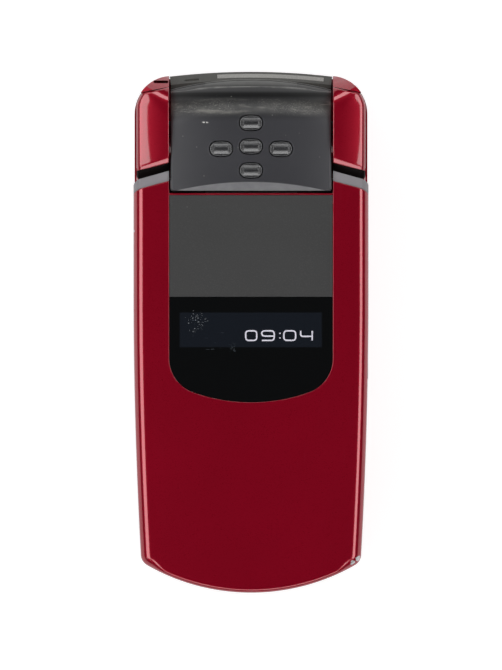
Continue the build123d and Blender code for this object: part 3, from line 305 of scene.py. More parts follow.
def lacquer(name, dark=None):
    """Deep red metallic lacquer under a clear coat, with rubbed streaks and a few chips.

    dark is "step" on the shoulders, where painted shade darkens the step that the lid's end
    passes, and "deck" on the front case, for its charcoal key deck. Without it the coat thins
    down the sides.
    """
    f = Finish(name, srgb(162, 2, 34), 0.28, 0.5)
    f.set("Coat Roughness", 0.06)
    f.set("Coat IOR", 1.8)
    f.set("Specular IOR Level", 0.25)
    flakes = f.noise(7000, 1)
    clouds = f.noise(60, 3)
    tone = f.colours(clouds, srgb(164, 1, 35), srgb(178, 2, 40))
    streaks = f.band(f.noise(1.0, 4, f.stretched(2600, 90, 400)), 0.67, 0.8)
    fine = f.band(f.noise(1.0, 2, f.stretched(5200, 260, 800)), 0.7, 0.78)
    rubbed = f.times(f.maths("MAXIMUM", streaks, fine), f.band(f.noise(45, 2), 0.42, 0.62))
    tone = f.colours(f.times(rubbed, 0.22), tone, srgb(186, 60, 76))
    chips = f.near(-23.95, 46.3, 15.5, 0.45)
    for x, y, z, radius in (
        (23.95, 46.7, 15.5, 0.5), (23.05, 41.6, 21.0, 0.42), (22.5, -47.3, 16.55, 0.8),
        (21.4, -48.3, 17.05, 0.75), (-24.45, 21.0, 16.6, 0.3),
    ):
        chips = f.maths("MAXIMUM", chips, f.near(x, y, z, radius))
    tone = f.colours(chips, tone, srgb(222, 220, 222))
    roughness = f.numbers(flakes, 0.24, 0.34)
    if dark == "step":
        # painted shade: the shoulders' step and its wall under the lid's end, near black with
        # almost no coat
        step = f.between(f.axis("Z"), (0.01722, 0.01728), (0.0182, 0.0186))
        ahead = f.maths("ADD", f.axis("Y"), f.times(f.from_middle(), SHOULDER_SLANT))
        step = f.times(step, f.band(ahead, 0.03982, 0.03968))
        tone = f.colours(step, tone, srgb(24, 18, 18))
        coat = f.numbers(step, 1.0, 0.05)
    elif dark == "deck":
        deck = f.times(
            f.band(f.axis("Z"), 0.00955, 0.0097), f.band(f.from_middle(), 0.0232, 0.0230)
        )
        tone = f.colours(deck, tone, srgb(58, 58, 60))
        f.feed("Metallic", f.numbers(deck, 0.5, 0.0))
        roughness = f.maths("MAXIMUM", roughness, f.times(deck, 0.5))
        coat = f.numbers(deck, 0.5, 0.0)
    else:
        coat = f.numbers(f.band(f.axis("Z"), 0.0170, 0.0160), 1.0, 0.5)
    f.feed("Base Color", tone)
    f.feed("Roughness", roughness)
    f.feed("Coat Weight", coat)
    f.bump(f.maths("SUBTRACT", flakes, f.times(chips, 3)), 0.004, 0.35)
    return f.material


def shade_of(colour, share):
    """A colour made darker or lighter by a share, held at white."""
    return (*[min(1.0, c * share) for c in colour[:3]], 1.0)


def moulded(name, colour, roughness, grain, dust=True, coat=0.0):
    """Moulded plastic with a fine grain, pale flecks, cloudy gloss and a little dust."""
    f = Finish(name, colour, roughness)
    f.set("Coat Weight", coat)
    texture = f.noise(grain, 2)
    shade = f.noise(90, 3)
    tone = f.colours(shade, shade_of(colour, 0.88), shade_of(colour, 1.12))
    flecks = f.times(f.band(f.noise(3600, 3), 0.5, 0.8), 0.6)
    tone = f.colours(flecks, tone, shade_of(colour, 1.7))
    if dust:
        tone = f.colours(f.times(f.specks(900, 0.1, 0.05), 0.6), tone, srgb(150, 150, 150))
    f.feed("Base Color", tone)
    f.feed("Roughness", f.numbers(shade, roughness - 0.05, roughness + 0.07))
    f.bump(texture, 0.012, 0.35)
    return f.material


def scratched_glass(name):
    """Nearly black window, glossy and lightly scratched.

    Behind the outer one a faint navy display shows, and its glass has two worn patches.
    """
    f = Finish(name, srgb(14, 15, 16), 0.09)
    f.set("Coat Weight", 0.6)
    f.set("Coat Roughness", 0.03)
    display = f.times(
        f.between(f.axis("X"), (-0.0150, -0.0147), (0.0146, 0.0149)),
        f.between(f.axis("Y"), (-0.0033, -0.0031), (0.0039, 0.0041)),
    )
    outer = f.band(f.axis("Z"), 0.0160, 0.0162)
    tone = f.colours(f.times(display, outer), srgb(13, 14, 15), srgb(26, 30, 37))
    smear = f.band(f.noise(1.0, 5, f.stretched(500, 240, 300)), 0.6, 0.85)
    lines = f.band(f.noise(1.0, 2, f.stretched(300, 4200, 300)), 0.72, 0.76)
    patch = f.times(f.near(-7.5, -0.3, 18.4, 4.2, 0.5), f.maths("MAXIMUM", smear, lines))
    crumbs = f.times(f.near(-11.3, 2.2, 18.4, 2.2, 0.3), f.band(f.noise(3800, 2), 0.63, 0.68))
    tone = f.colours(f.times(patch, 0.6), tone, srgb(96, 104, 112))
    tone = f.colours(f.times(crumbs, 0.7), tone, srgb(176, 180, 184))
    f.feed("Base Color", tone)
    f.feed("Roughness", f.numbers(f.noise(700, 4), 0.06, 0.14))
    f.bump(f.noise(150, 2), 0.01, 0.2)
    return f.material


def satin_metal(name, colour, roughness):
    """Silver paint or bare metal with a faint grain and a cloudy tone."""
    f = Finish(name, colour, roughness, 0.25)
    grain = f.noise(5200, 2)
    f.feed("Base Color", f.colours(f.noise(220, 3), colour, shade_of(colour, 1.15)))
    f.feed("Roughness", f.numbers(grain, roughness - 0.06, roughness + 0.06))
    f.bump(grain, 0.006, 0.3)
    return f.material


RED = lacquer("red_lacquer")
CASE = lacquer("case_lacquer", dark="deck")
SILVER = satin_metal("silver_paint", srgb(152, 149, 153), 0.4)
BLACK = moulded("black_satin", srgb(62, 62, 64), 0.38, 5200)
PANEL = moulded("panel_grain", srgb(57, 57, 57), 0.62, 7500)
GLASS = scratched_glass("window_black")
STRIP = moulded("end_window_grey", srgb(176, 174, 170), 0.3, 900, dust=False, coat=0.3)
END_COVER = moulded("end_cover_charcoal", srgb(90, 90, 86), 0.45, 5200)
KEYS = moulded("key_grey", srgb(148, 149, 153), 0.36, 4200, dust=False)
STEEL = satin_metal("steel", srgb(188, 188, 190), 0.3)
BOARD = moulded("board_green", srgb(44, 96, 62), 0.5, 1500, dust=False)
DARK = moulded("dark_part", srgb(38, 38, 40), 0.5, 3000, dust=False)
DISPLAY = moulded("display_panel", srgb(20, 24, 32), 0.2, 1200, dust=False)

LOOK = {
    "red_paint": RED, "base_shell": RED, "grey_metal": SILVER, "black_plastic": BLACK,
    "trim_panel": PANEL, "dark_glass": GLASS, "grey_window": STRIP, "display": DISPLAY,
    "board": BOARD, "key_black": BLACK, "key_grey": KEYS, "steel": STEEL,
    "dark_part": DARK, "rubber": DARK,
}

LOOK_OF = {
    "hinge_pins": DARK, "hinge_cam_unit": DARK, "top_end_cover": END_COVER,
    "base_front_case": CASE,
}

slots = {row["node"]: row["material_slot"] for row in frame["record"]["subparts"]}
for name, node in frame["nodes"].items():
    node.data.materials.clear()
    node.data.materials.append(LOOK_OF.get(name, LOOK[slots[name]]))


# ==== making surfaces =======================================================

def grid_quads(rows, columns, closed=False):
    """The four corners of each face of a grid; closed joins its last column to its first."""
    index = np.arange(rows * columns).reshape(rows, columns)
    if closed:
        index = np.concatenate([index, index[:, :1]], axis=1)
    return np.stack(
        [index[:-1, :-1], index[:-1, 1:], index[1:, 1:], index[1:, :-1]], axis=-1
    ).reshape(-1, 4)


def surface(name, points, material, body, replaces=(), closed=False):
    """A grid of points, rows by columns, in millimetres, as a smooth mesh that rides on a body."""
    quads = grid_quads(*points.shape[:2], closed)
    mesh_piece(name, points.reshape(-1, 3), quads, material, body, replaces)


def mesh_piece(name, points, quads, material, body, replaces=()):
    """Puts computed points, in millimetres, and four-cornered faces into a new piece.

    The piece rides on a body, takes a material slot and may stand for CAD nodes.
    """
    mesh = bpy.data.meshes.new(name)
    mesh.vertices.add(len(points))
    mesh.vertices.foreach_set("co", (points * MM).astype(np.float32).ravel())
    mesh.loops.add(quads.size)
    mesh.loops.foreach_set("vertex_index", quads.astype(np.int32).ravel())
    mesh.polygons.add(len(quads))
    mesh.polygons.foreach_set("loop_start", np.arange(0, quads.size, 4, dtype=np.int32))
    mesh.polygons.foreach_set("use_smooth", np.ones(len(quads), dtype=bool))
    mesh.update(calc_edges=True)
    mesh.materials.append(material)
    piece = bpy.data.objects.new(name, mesh)
    bpy.context.scene.collection.objects.link(piece)
    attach(piece, body)
    if replaces:
        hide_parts(*replaces)


def arc(centre, radius, start, stop, count):
    """Points and outward directions on a circle's arc, angles in radians."""
    angle = np.linspace(start, stop, count)
    out = np.stack([np.cos(angle), np.sin(angle)], axis=-1)
    return np.array(centre) + radius * out, out


def smooth_step(value):
    """0 up to 0, 1 from 1, and 3v2 - 2v3 between."""
    value = np.clip(value, 0, 1)
    return value * value * (3 - 2 * value)


def lid_surface(x, y):
    """Height of the lid: it falls 0.75 degrees to the free end and is crowned across by R 400."""
    middle_z, fall, crown = 18.5, np.tan(np.radians(0.75)), 400
    return middle_z + y * fall - (crown - np.sqrt(crown**2 - x**2))


# ==== lid ===================================================================

OUTLINE_TOP_Y = 30.0
POCKET_SIDE_END_Y = -5.55


def lid_outline():
    """Right half of the lid's plan, from the hinge end to the middle of the free end.

    A straight side, a side of R 979 that leaves it tangentially, a corner of R 2.6 and the
    bowed free end of R 43.9. The corner's centre lies inside both big circles by its radius.
    Returns the points, the outward directions, and a share that rises from 0 at the corner
    to 1 a few millimetres along the free end.
    """
    side_bow, free_bow, corner = 979.05, 43.88, 2.6
    end_of_straight = 8.0
    side = np.array([LID_X - side_bow, end_of_straight])
    free = np.array([0.0, -END_Y + free_bow])
    reach_side, reach_free = side_bow - corner, free_bow - corner
    apart = free - side
    gap = np.hypot(*apart)
    along = (reach_side**2 - reach_free**2 + gap**2) / (2 * gap)
    across = np.sqrt(reach_side**2 - along**2)
    unit = apart / gap
    square = across * np.array([-unit[1], unit[0]])
    crossings = (side + along * unit + square, side + along * unit - square)
    middle = min(crossings, key=lambda point: point[1])
    turn_side = np.arctan2(*(middle - side)[::-1])
    turn_free = np.arctan2(*(middle - free)[::-1])
    top = np.concatenate([
        np.linspace(OUTLINE_TOP_Y, 29.0, 6), np.linspace(28.9, end_of_straight, 16)[1:]
    ])
    straight = np.stack([np.full_like(top, LID_X), top], axis=-1)
    straight_out = np.tile([1.0, 0.0], (len(top), 1))
    low_side, low_side_out = arc(side, side_bow, 0.0, turn_side, 40)
    bend, bend_out = arc(middle, corner, turn_side, turn_free, 14)
    end, end_out = arc(free, free_bow, turn_free, -np.pi / 2, 34)
    points = np.concatenate([straight, low_side[1:], bend[1:], end[1:]])
    out = np.concatenate([straight_out, low_side_out[1:], bend_out[1:], end_out[1:]])
    changing = np.linspace(0, 1, 7)[1:]
    before = np.zeros(len(points) - len(end) + 1)
    after = np.ones(len(points) - len(before) - len(changing))
    return points, out, np.concatenate([before, changing, after])


def pocket_edge(outer):
    """The point of the notch or pocket that each point of the lid's outline looks to.

    Level with it down to the end of the pocket's side, and below that the same share of the
    length along the pocket's corner of R 7.5 and its bowed end of R 36 as the outline has
    covered.
    """
    corner_radius, bow = 7.5, 36.0
    corner_x, bow_y = POCKET_X - corner_radius, 21.3
    inner = np.stack([
        np.where(outer[:, 1] > NOTCH_Y, NOTCH_X, POCKET_X), outer[:, 1]
    ], axis=-1)
    first = np.argmax(outer[:, 1] < POCKET_SIDE_END_Y) - 1
    steps = np.hypot(*np.diff(outer[first:], axis=0).T)
    share = np.concatenate([[0], np.cumsum(steps)]) / steps.sum()
    turn = np.arctan2(POCKET_SIDE_END_Y - bow_y, corner_x)
    corner, _ = arc((corner_x, POCKET_SIDE_END_Y), corner_radius, 0, turn, 60)
    bowed, _ = arc((0, bow_y), bow, turn, -np.pi / 2, 60)
    path = np.concatenate([corner, bowed[1:]])
    length = np.concatenate([[0], np.cumsum(np.hypot(*np.diff(path, axis=0).T))])
    eased = share * length[-1]
    inner[first:, 0] = np.interp(eased, length, path[:, 0])
    inner[first:, 1] = np.interp(eased, length, path[:, 1])
    return inner


def hinge_end(x, z):
    """Y of the lid's end: a flared drum about the hinge line, 0.2 wider for each mm outwards."""
    reach = LID_DRUM + DRUM_FLARE * np.maximum(np.abs(x) - NOTCH_X, 0)
    return HINGE_Y - np.sqrt(np.maximum(reach**2 - (z - HINGE_Z) ** 2, 0.01))


def lid_cover():
    """The lid's painted cover, one sheet that wraps from the side wall to the pocket's wall.

    Down each line from the outline to the pocket it has: a plumb wall, a quarter round whose
    radius is 2.2 at the sides and 1.0 at the free end, the crowned surface, and a small
    round into the pocket. Near the hinge the lines are drawn to the lid's flared end, where
    the sheet turns down along that drum.
    """
    side_round, free_round, inner_round = 2.2, 1.0, 0.12
    wall, notch_wall, pocket_wall = 3.6, 3.5, 1.3
    drawn_from = 20.0
    outer, out, past_corner = lid_outline()
    inner = pocket_edge(outer)
    mirror = np.array([-1.0, 1.0])
    outer = np.concatenate([outer, outer[-2::-1] * mirror])
    out = np.concatenate([out, out[-2::-1] * mirror])
    past_corner = np.concatenate([past_corner, past_corner[-2::-1]])
    inner = np.concatenate([inner, inner[-2::-1] * mirror])
    radius = side_round - (side_round - free_round) * smooth_step(past_corner)

    plan, drop = [], []
    for share in (1.0, 0.5, 0.06):
        plan.append(outer)
        drop.append(radius + share * (wall - radius))
    for turn in np.radians(np.linspace(0, 90, 17)):
        plan.append(outer - out * (radius * (1 - np.cos(turn)))[:, None])
        drop.append(radius * (1 - np.sin(turn)))
    start = plan[-1]
    aim = inner - start
    aim = aim / np.hypot(*aim.T)[:, None]
    stop = inner - aim * inner_round
    for share in np.linspace(0, 1, 24)[1:]:
        plan.append(start + (stop - start) * share)
        drop.append(np.zeros(len(outer)))
    for turn in np.radians((30, 60, 90)):
        plan.append(stop + aim * inner_round * np.sin(turn))
        drop.append(np.full(len(outer), inner_round * (1 - np.cos(turn))))
    for depth in (0.2, 1.0):
        plan.append(inner)
        drop.append(inner_round + depth * np.where(outer[:, 1] > NOTCH_Y, notch_wall, pocket_wall))
    plan, drop = np.array(plan), np.array(drop)

    # the end's place depends on the height there, so the two are found in turns
    x, y = plan[..., 0], plan[..., 1]
    share = np.clip((y - drawn_from) / (OUTLINE_TOP_Y - drawn_from), 0, None)
    for _ in range(3):
        z = np.maximum(lid_surface(x, y) - drop, LID_SPLIT_Z)
        drawn_y = drawn_from + share * (hinge_end(x, z) - drawn_from)
        y = np.where(share > 0, drawn_y, plan[..., 1])
    sheet = np.stack([x, y, z], axis=-1)

    # the two ends turn down along the drum
    ends = []
    for column in (0, -1):
        edge = sheet[:, column]
        steps = []
        for share_down in (0.03, 0.3, 0.65, 1.0):
            low = edge[:, 2] + (LID_SPLIT_Z - edge[:, 2]) * share_down
            steps.append(np.stack([edge[:, 0], hinge_end(edge[:, 0], low), low], axis=-1))
        ends.append(np.stack(steps, axis=1))
    sheet = np.concatenate([ends[0][:, ::-1], sheet, ends[1]], axis=1)
    surface("lid_cover", sheet, RED, "flip", ("flip_outer_cover",))


def lid_rim_bar():
    """The red bar between the notch and the pocket, from side to side of the notch.

    Its section has two rounds of 0.1 on top, where it follows the lid's surface, and its
    sides go down to the lid's split.
    """
    rounding, past_the_split = 0.1, 50.0
    turn = np.radians(np.linspace(0, 90, 5))
    inward, fall = rounding * (1 - np.sin(turn)), rounding * (1 - np.cos(turn))
    y = np.concatenate([
        [POCKET_TOP_Y], POCKET_TOP_Y + inward[::-1], NOTCH_Y - inward, [NOTCH_Y]
    ])
    down = np.concatenate([[past_the_split], fall[::-1], fall, [past_the_split]])
    x, y = np.meshgrid(np.linspace(-NOTCH_X, NOTCH_X, 25), y)
    z = np.maximum(lid_surface(x, y) - down[:, None], LID_SPLIT_Z)
    surface("lid_rim_bar", np.stack([x, y, z], axis=-1), RED, "flip")


def pocket_floor():
    """Floor of the pocket under the trim plates, 1.42 below the lid's surface."""
    x, y = np.meshgrid(np.linspace(-16.9, 16.9, 9), np.linspace(-5.0, 28.4, 9))
    points = np.stack([x, y, lid_surface(x, y) - 1.42], axis=-1)
    surface("pocket_floor", points, DARK, "flip")


lid_cover()
lid_rim_bar()
pocket_floor()


# ==== clock digits and key legends ==========================================

def rounded_path(corners, radius, closed=False, steps=6):
    """A run of straight lines whose corners are rounded.

    Each corner is replaced by a curve (1-t)2 A + 2t(1-t) C + t2 B between the points A and B
    that lie a radius before and after the corner C.
    """
    corners = np.array(corners, dtype=float)
    t = np.linspace(0, 1, steps)[:, None]
    out = []
    count = len(corners)
    picks = range(count) if closed else range(1, count - 1)
    if not closed:
        out.append(corners[:1])
    for i in picks:
        here = corners[i]
        before = corners[i - 1] - here
        after = corners[(i + 1) % count] - here
        a = here + before / np.hypot(*before) * min(radius, np.hypot(*before) / 2)
        b = here + after / np.hypot(*after) * min(radius, np.hypot(*after) / 2)
        out.append((1 - t) ** 2 * a + 2 * t * (1 - t) * here + t**2 * b)
    out.append(corners[-1:] if not closed else out[0][:1])
    return np.concatenate(out)


def ribbon(path, width):
    """Left and right sides of a flat stroke along a path, square to its direction."""
    ahead = np.gradient(path, axis=0)
    ahead = ahead / np.maximum(np.hypot(*ahead.T), 1e-9)[:, None]
    side = np.stack([-ahead[:, 1], ahead[:, 0]], axis=-1) * width / 2
    return np.stack([path - side, path + side], axis=0)


GLYPHS = {
    "0": [([(0, 0), (0, 1), (1, 1), (1, 0)], True)],
    "1": [([(0.3, 0.8), (0.55, 1), (0.55, 0)], False)],
    "2": [([(0, 1), (1, 1), (1, 0.5), (0, 0.5), (0, 0), (1, 0)], False)],
    "3": [([(0, 1), (1, 1), (1, 0), (0, 0)], False), ([(0.25, 0.5), (1, 0.5)], False)],
    "4": [([(0, 1), (0, 0.42), (1, 0.42)], False), ([(1, 1), (1, 0)], False)],
    "5": [([(1, 1), (0, 1), (0, 0.55), (1, 0.55), (1, 0), (0, 0)], False)],
    "6": [([(1, 1), (0, 1), (0, 0), (1, 0), (1, 0.52), (0, 0.52)], False)],
    "7": [([(0, 1), (1, 1), (0.45, 0)], False)],
    "8": [([(0, 0), (0, 1), (1, 1), (1, 0)], True), ([(0, 0.52), (1, 0.52)], False)],
    "9": [([(1, 0.45), (0, 0.45), (0, 1), (1, 1), (1, 0), (0, 0)], False)],
    "*": [([(0.5, 0.9), (0.5, 0.1)], False), ([(0.1, 0.7), (0.9, 0.3)], False),
          ([(0.1, 0.3), (0.9, 0.7)], False)],
    "#": [([(0.32, 1), (0.32, 0)], False), ([(0.68, 1), (0.68, 0)], False),
          ([(0, 0.68), (1, 0.68)], False), ([(0, 0.32), (1, 0.32)], False)],
    ":": [([(0.5, 0.68), (0.5, 0.8)], False), ([(0.5, 0.2), (0.5, 0.32)], False)],
}


def written(name, signs, stroke, height_at, material, body):
    """Flat strokes of plain signs, each given as sign, left, low, width, height and corner."""
    points, quads, total = [], [], 0
    for sign, left, low, width, height, corner in signs:
        for line, closed in GLYPHS[sign]:
            shape = np.array(line, dtype=float) * [width, height] + [left, low]
            path = rounded_path(shape, corner, closed)
            flat = ribbon(path, stroke).reshape(-1, 2)
            points.append(np.column_stack([flat, height_at(flat[:, 0], flat[:, 1])]))
            step = np.arange(len(path) - 1)
            back = step + len(path)
            quads.append(np.stack([step, step + 1, back + 1, back], axis=-1) + total)
            total += len(flat)
    mesh_piece(name, np.concatenate(points), np.concatenate(quads), material, body)


def uneven_ink(name, scale, detail, low, high):
    """A pale ink between two tones."""
    f = Finish(name, high, 0.5)
    f.feed("Base Color", f.colours(f.noise(scale, detail), low, high))
    return f.material


DIGITS = uneven_ink("display_digits", 900, 2, srgb(218, 214, 232), srgb(244, 242, 250))
INK = uneven_ink("legend_ink", 1500, 3, srgb(214, 214, 214), srgb(240, 240, 240))
DIGITS_LOW_Y, DIGITS_HIGH = -1.8, 2.0

written(
    "clock_digits",
    [
        (sign, left, DIGITS_LOW_Y, width, DIGITS_HIGH, corner)
        for sign, left, width, corner in (
            ("0", -1.1, 2.3, 0.7), ("9", 2.25, 2.6, 0.7), (":", 5.65, 0.8, 0.1),
            ("0", 6.85, 2.45, 0.7), ("4", 10.35, 2.4, 0.5),
        )
    ],
    0.3, lambda x, y: lid_surface(x, y) - 0.045, DIGITS, "flip",
)

KEY_TOP_Z = 10.2
KEY_PITCH_X, KEY_PITCH_Y, FIRST_KEY_Y = 14.4, 9.2, -6.0
for row, line in enumerate(("123", "456", "789", "*0#")):
    for column, sign in enumerate(line):
        key = {"*": "key_star", "#": "key_hash"}.get(sign, "key_" + sign)
        x, y = KEY_PITCH_X * (column - 1), FIRST_KEY_Y - KEY_PITCH_Y * row
        written(
            key + "_legend", [(sign, x - 1.0, y - 1.5, 2.0, 3.0, 0.6)], 0.42,
            lambda gx, _: np.full_like(gx, KEY_TOP_Z + 0.012), INK, key,
        )


# ==== hinge module and its music keys =======================================

MODULE_X, MODULE_FRONT_Y, MODULE_LOW_Z = 16.75, 29.4, 13.1
KEY_LONG, KEY_WIDE = 2.35, 1.55
MUSIC_KEYS = {
    "up": (0.0, 43.5), "centre": (0.0, 38.6), "left": (-6.2, 38.1),
    "right": (6.2, 38.1), "down": (0.0, 33.6),
}


def barrel_reach(x):
    """Radius of the crowned barrel at a distance from its middle."""
    return BARREL_RADIUS - (BARREL_CROWN - np.sqrt(BARREL_CROWN**2 - x**2))


def facet_height(x, y):
    """The facet: a plane that rises to the back, crowned across by R 79."""
    return FACET_FRONT_Z + (y - FACET_FRONT_Y) * FACET_SLOPE - x**2 / (2 * FACET_CROWN)


def soft_minimum(a, b, blend):
    """The lower of two heights, rounded where they cross: min - h2 k / 4, h = 1 - |a-b| / k."""
    h = np.maximum(1 - np.abs(a - b) / blend, 0)
    return np.minimum(a, b) - h**2 * blend / 4


def module_surface(x, y):
    """Height of the hinge module: the facet in front, the crowned barrel behind, a soft crease."""
    barrel = HINGE_Z + np.sqrt(np.maximum(barrel_reach(x) ** 2 - (y - HINGE_Y) ** 2, 0))
    return np.where(
        y < HINGE_Y, facet_height(x, y), soft_minimum(facet_height(x, y), barrel, 0.16)
    )


def oval_distance(x, y, key_x, key_y):
    """Distance from the middle line of an oval key."""
    straight = KEY_LONG - KEY_WIDE
    return np.hypot(np.maximum(np.abs(x - key_x) - straight, 0), y - key_y)


def module_black():
    """Black satin plastic of the hinge module's cover.

    Over the barrel it is painted darker as shade, with a band of painted highlight on which dust
    and rubbing are painted, then a band of painted shade, and its rear edge is worn pale. The
    bevel in front is paler all over, and the facet has one short scratch.
    """
    f = Finish("module_black", srgb(62, 62, 66), 0.34)
    f.set("Specular IOR Level", 0.5)
    x, y, z = f.axis("X"), f.axis("Y"), f.axis("Z")
    shade = f.noise(90, 3)
    tone = f.colours(shade, srgb(57, 57, 61), srgb(68, 68, 72))
    # painted shade: the module over the barrel, behind y 43.8 mm, is painted darker
    tone = f.colours(f.times(f.band(y, 0.0438, 0.0465), 0.72), tone, srgb(26, 26, 26))
    # painted highlight: a pale, cloudy band across the barrel behind the crest
    painted_highlight_band = f.between(y, (0.0447, 0.0462), (0.0474, 0.0490))
    highlight_clouds = f.band(f.noise(240, 3), 0.25, 0.7)
    tone = f.colours(f.times(f.times(painted_highlight_band, highlight_clouds), 0.55), tone, srgb(104, 103, 100))
    # pale specks only within the painted highlight band: partly dust, partly painted glints of it
    dust = f.band(f.noise(5200, 2), 0.55, 0.68)
    dust = f.times(f.times(dust, f.band(f.noise(160, 3), 0.38, 0.6)), painted_highlight_band)
    tone = f.colours(f.times(dust, 0.6), tone, srgb(160, 158, 150))
    # pale smears only within the painted highlight band: partly rubbing, partly painted highlight
    smear = f.times(f.band(f.noise(1.0, 4, f.stretched(130, 900, 300)), 0.55, 0.68), painted_highlight_band)
    tone = f.colours(f.times(smear, 0.4), tone, srgb(172, 170, 162))
    # painted shade: a dark band over the barrel in front of the cover's rear edge
    shaded = f.between(y, (0.0484, 0.0492), (0.0497, 0.0503))
    tone = f.colours(f.times(shaded, 0.8), tone, srgb(24, 24, 24))
    tone = f.colours(f.times(f.specks(700, 0.13, 0.2), 0.6), tone, srgb(138, 138, 132))
    plane = f.maths(
        "SUBTRACT", f.times(f.maths("SUBTRACT", y, FACET_FRONT_Y * MM), FACET_SLOPE),
        f.times(f.maths("POWER", x, 2.0), 1 / (2 * FACET_CROWN * MM)),
    )
    under = f.maths("SUBTRACT", f.maths("ADD", plane, FACET_FRONT_Z * MM), z)
    bevel = f.times(f.band(under, 0.00004, 0.00012), f.band(y, 0.0317, 0.0314))
    # the bevel's whole face is given a paler, cloudy grey
    worn = f.colours(f.noise(420, 3), srgb(122, 122, 126), srgb(160, 160, 162))
    tone = f.colours(f.times(bevel, f.band(z, 0.0186, 0.0190)), tone, worn)
    scratch = f.times(
        f.between(x, (-0.0103, -0.0100), (-0.0091, -0.0087)),
        f.between(y, (0.04345, 0.0435), (0.0437, 0.0438)),
    )
    scratch = f.times(scratch, f.band(f.noise(3000, 2), 0.38, 0.5))
    tone = f.colours(scratch, tone, srgb(214, 212, 208))
    edge = f.times(f.band(y, 0.0499, 0.0502), f.band(z, 0.0190, 0.0184))
    edge = f.times(edge, f.band(f.noise(300, 3), 0.3, 0.6))
    rim_place = f.maths("ADD", y, f.times(f.maths("POWER", x, 2.0), 4.3))
    edge = f.times(edge, f.band(rim_place, 0.0509, 0.0511))
    tone = f.colours(f.times(edge, 0.8), tone, srgb(140, 140, 136))
    f.feed("Base Color", tone)
    f.feed("Roughness", f.numbers(f.maths("MAXIMUM", dust, smear), 0.34, 0.55))
    f.feed("Specular IOR Level", f.numbers(shaded, 0.5, 0.15))
    f.bump(f.noise(5200, 2), 0.012, 0.4)
    return f.material


def barrel_black():
    """Charcoal of the barrel's middle sleeve, with painted shade at both sides and by the cover.
    """
    f = Finish("barrel_charcoal", srgb(84, 84, 82), 0.4)
    tone = f.colours(f.noise(400, 3), srgb(72, 72, 70), srgb(88, 88, 85))
    # painted shade: both sides of the barrel, where the hinge gaps open, painted near black
    tone = f.colours(f.band(f.from_middle(), 0.0095, 0.0097), tone, srgb(28, 28, 28))
    # painted shade: the barrel next to the cover's edge painted darker
    shaded = f.times(f.band(f.axis("Y"), 0.0517, 0.0514), f.band(f.axis("Z"), 0.0130, 0.0134))
    tone = f.colours(f.times(shaded, 0.7), tone, srgb(30, 30, 30))
    f.feed("Base Color", tone)
    f.feed("Roughness", f.numbers(f.noise(600, 2), 0.36, 0.5))
    f.bump(f.noise(5200, 2), 0.012, 0.4)
    return f.material


MODULE, BARREL = module_black(), barrel_black()
frame["nodes"]["hinge_barrel"].data.materials[0] = BARREL


def module_lines():
    """Distances across the module, closer near both ends, and how far each drops there.

    The last 0.3 mm of each side is a quarter round.
    """
    round_off = 0.3
    turn = np.radians(np.linspace(0, 90, 6))
    side_x = MODULE_X - round_off * (1 - np.sin(turn))[::-1]
    side_drop = round_off * (1 - np.cos(turn))[::-1]
    inside = np.linspace(-MODULE_X + round_off, MODULE_X - round_off, 169)
    x = np.concatenate([-side_x[:-1], inside, side_x[:-1][::-1]])
    drop = np.concatenate([side_drop[:-1], np.zeros(len(inside)), side_drop[:-1][::-1]])
    order = np.argsort(x)
    return x[order], drop[order]


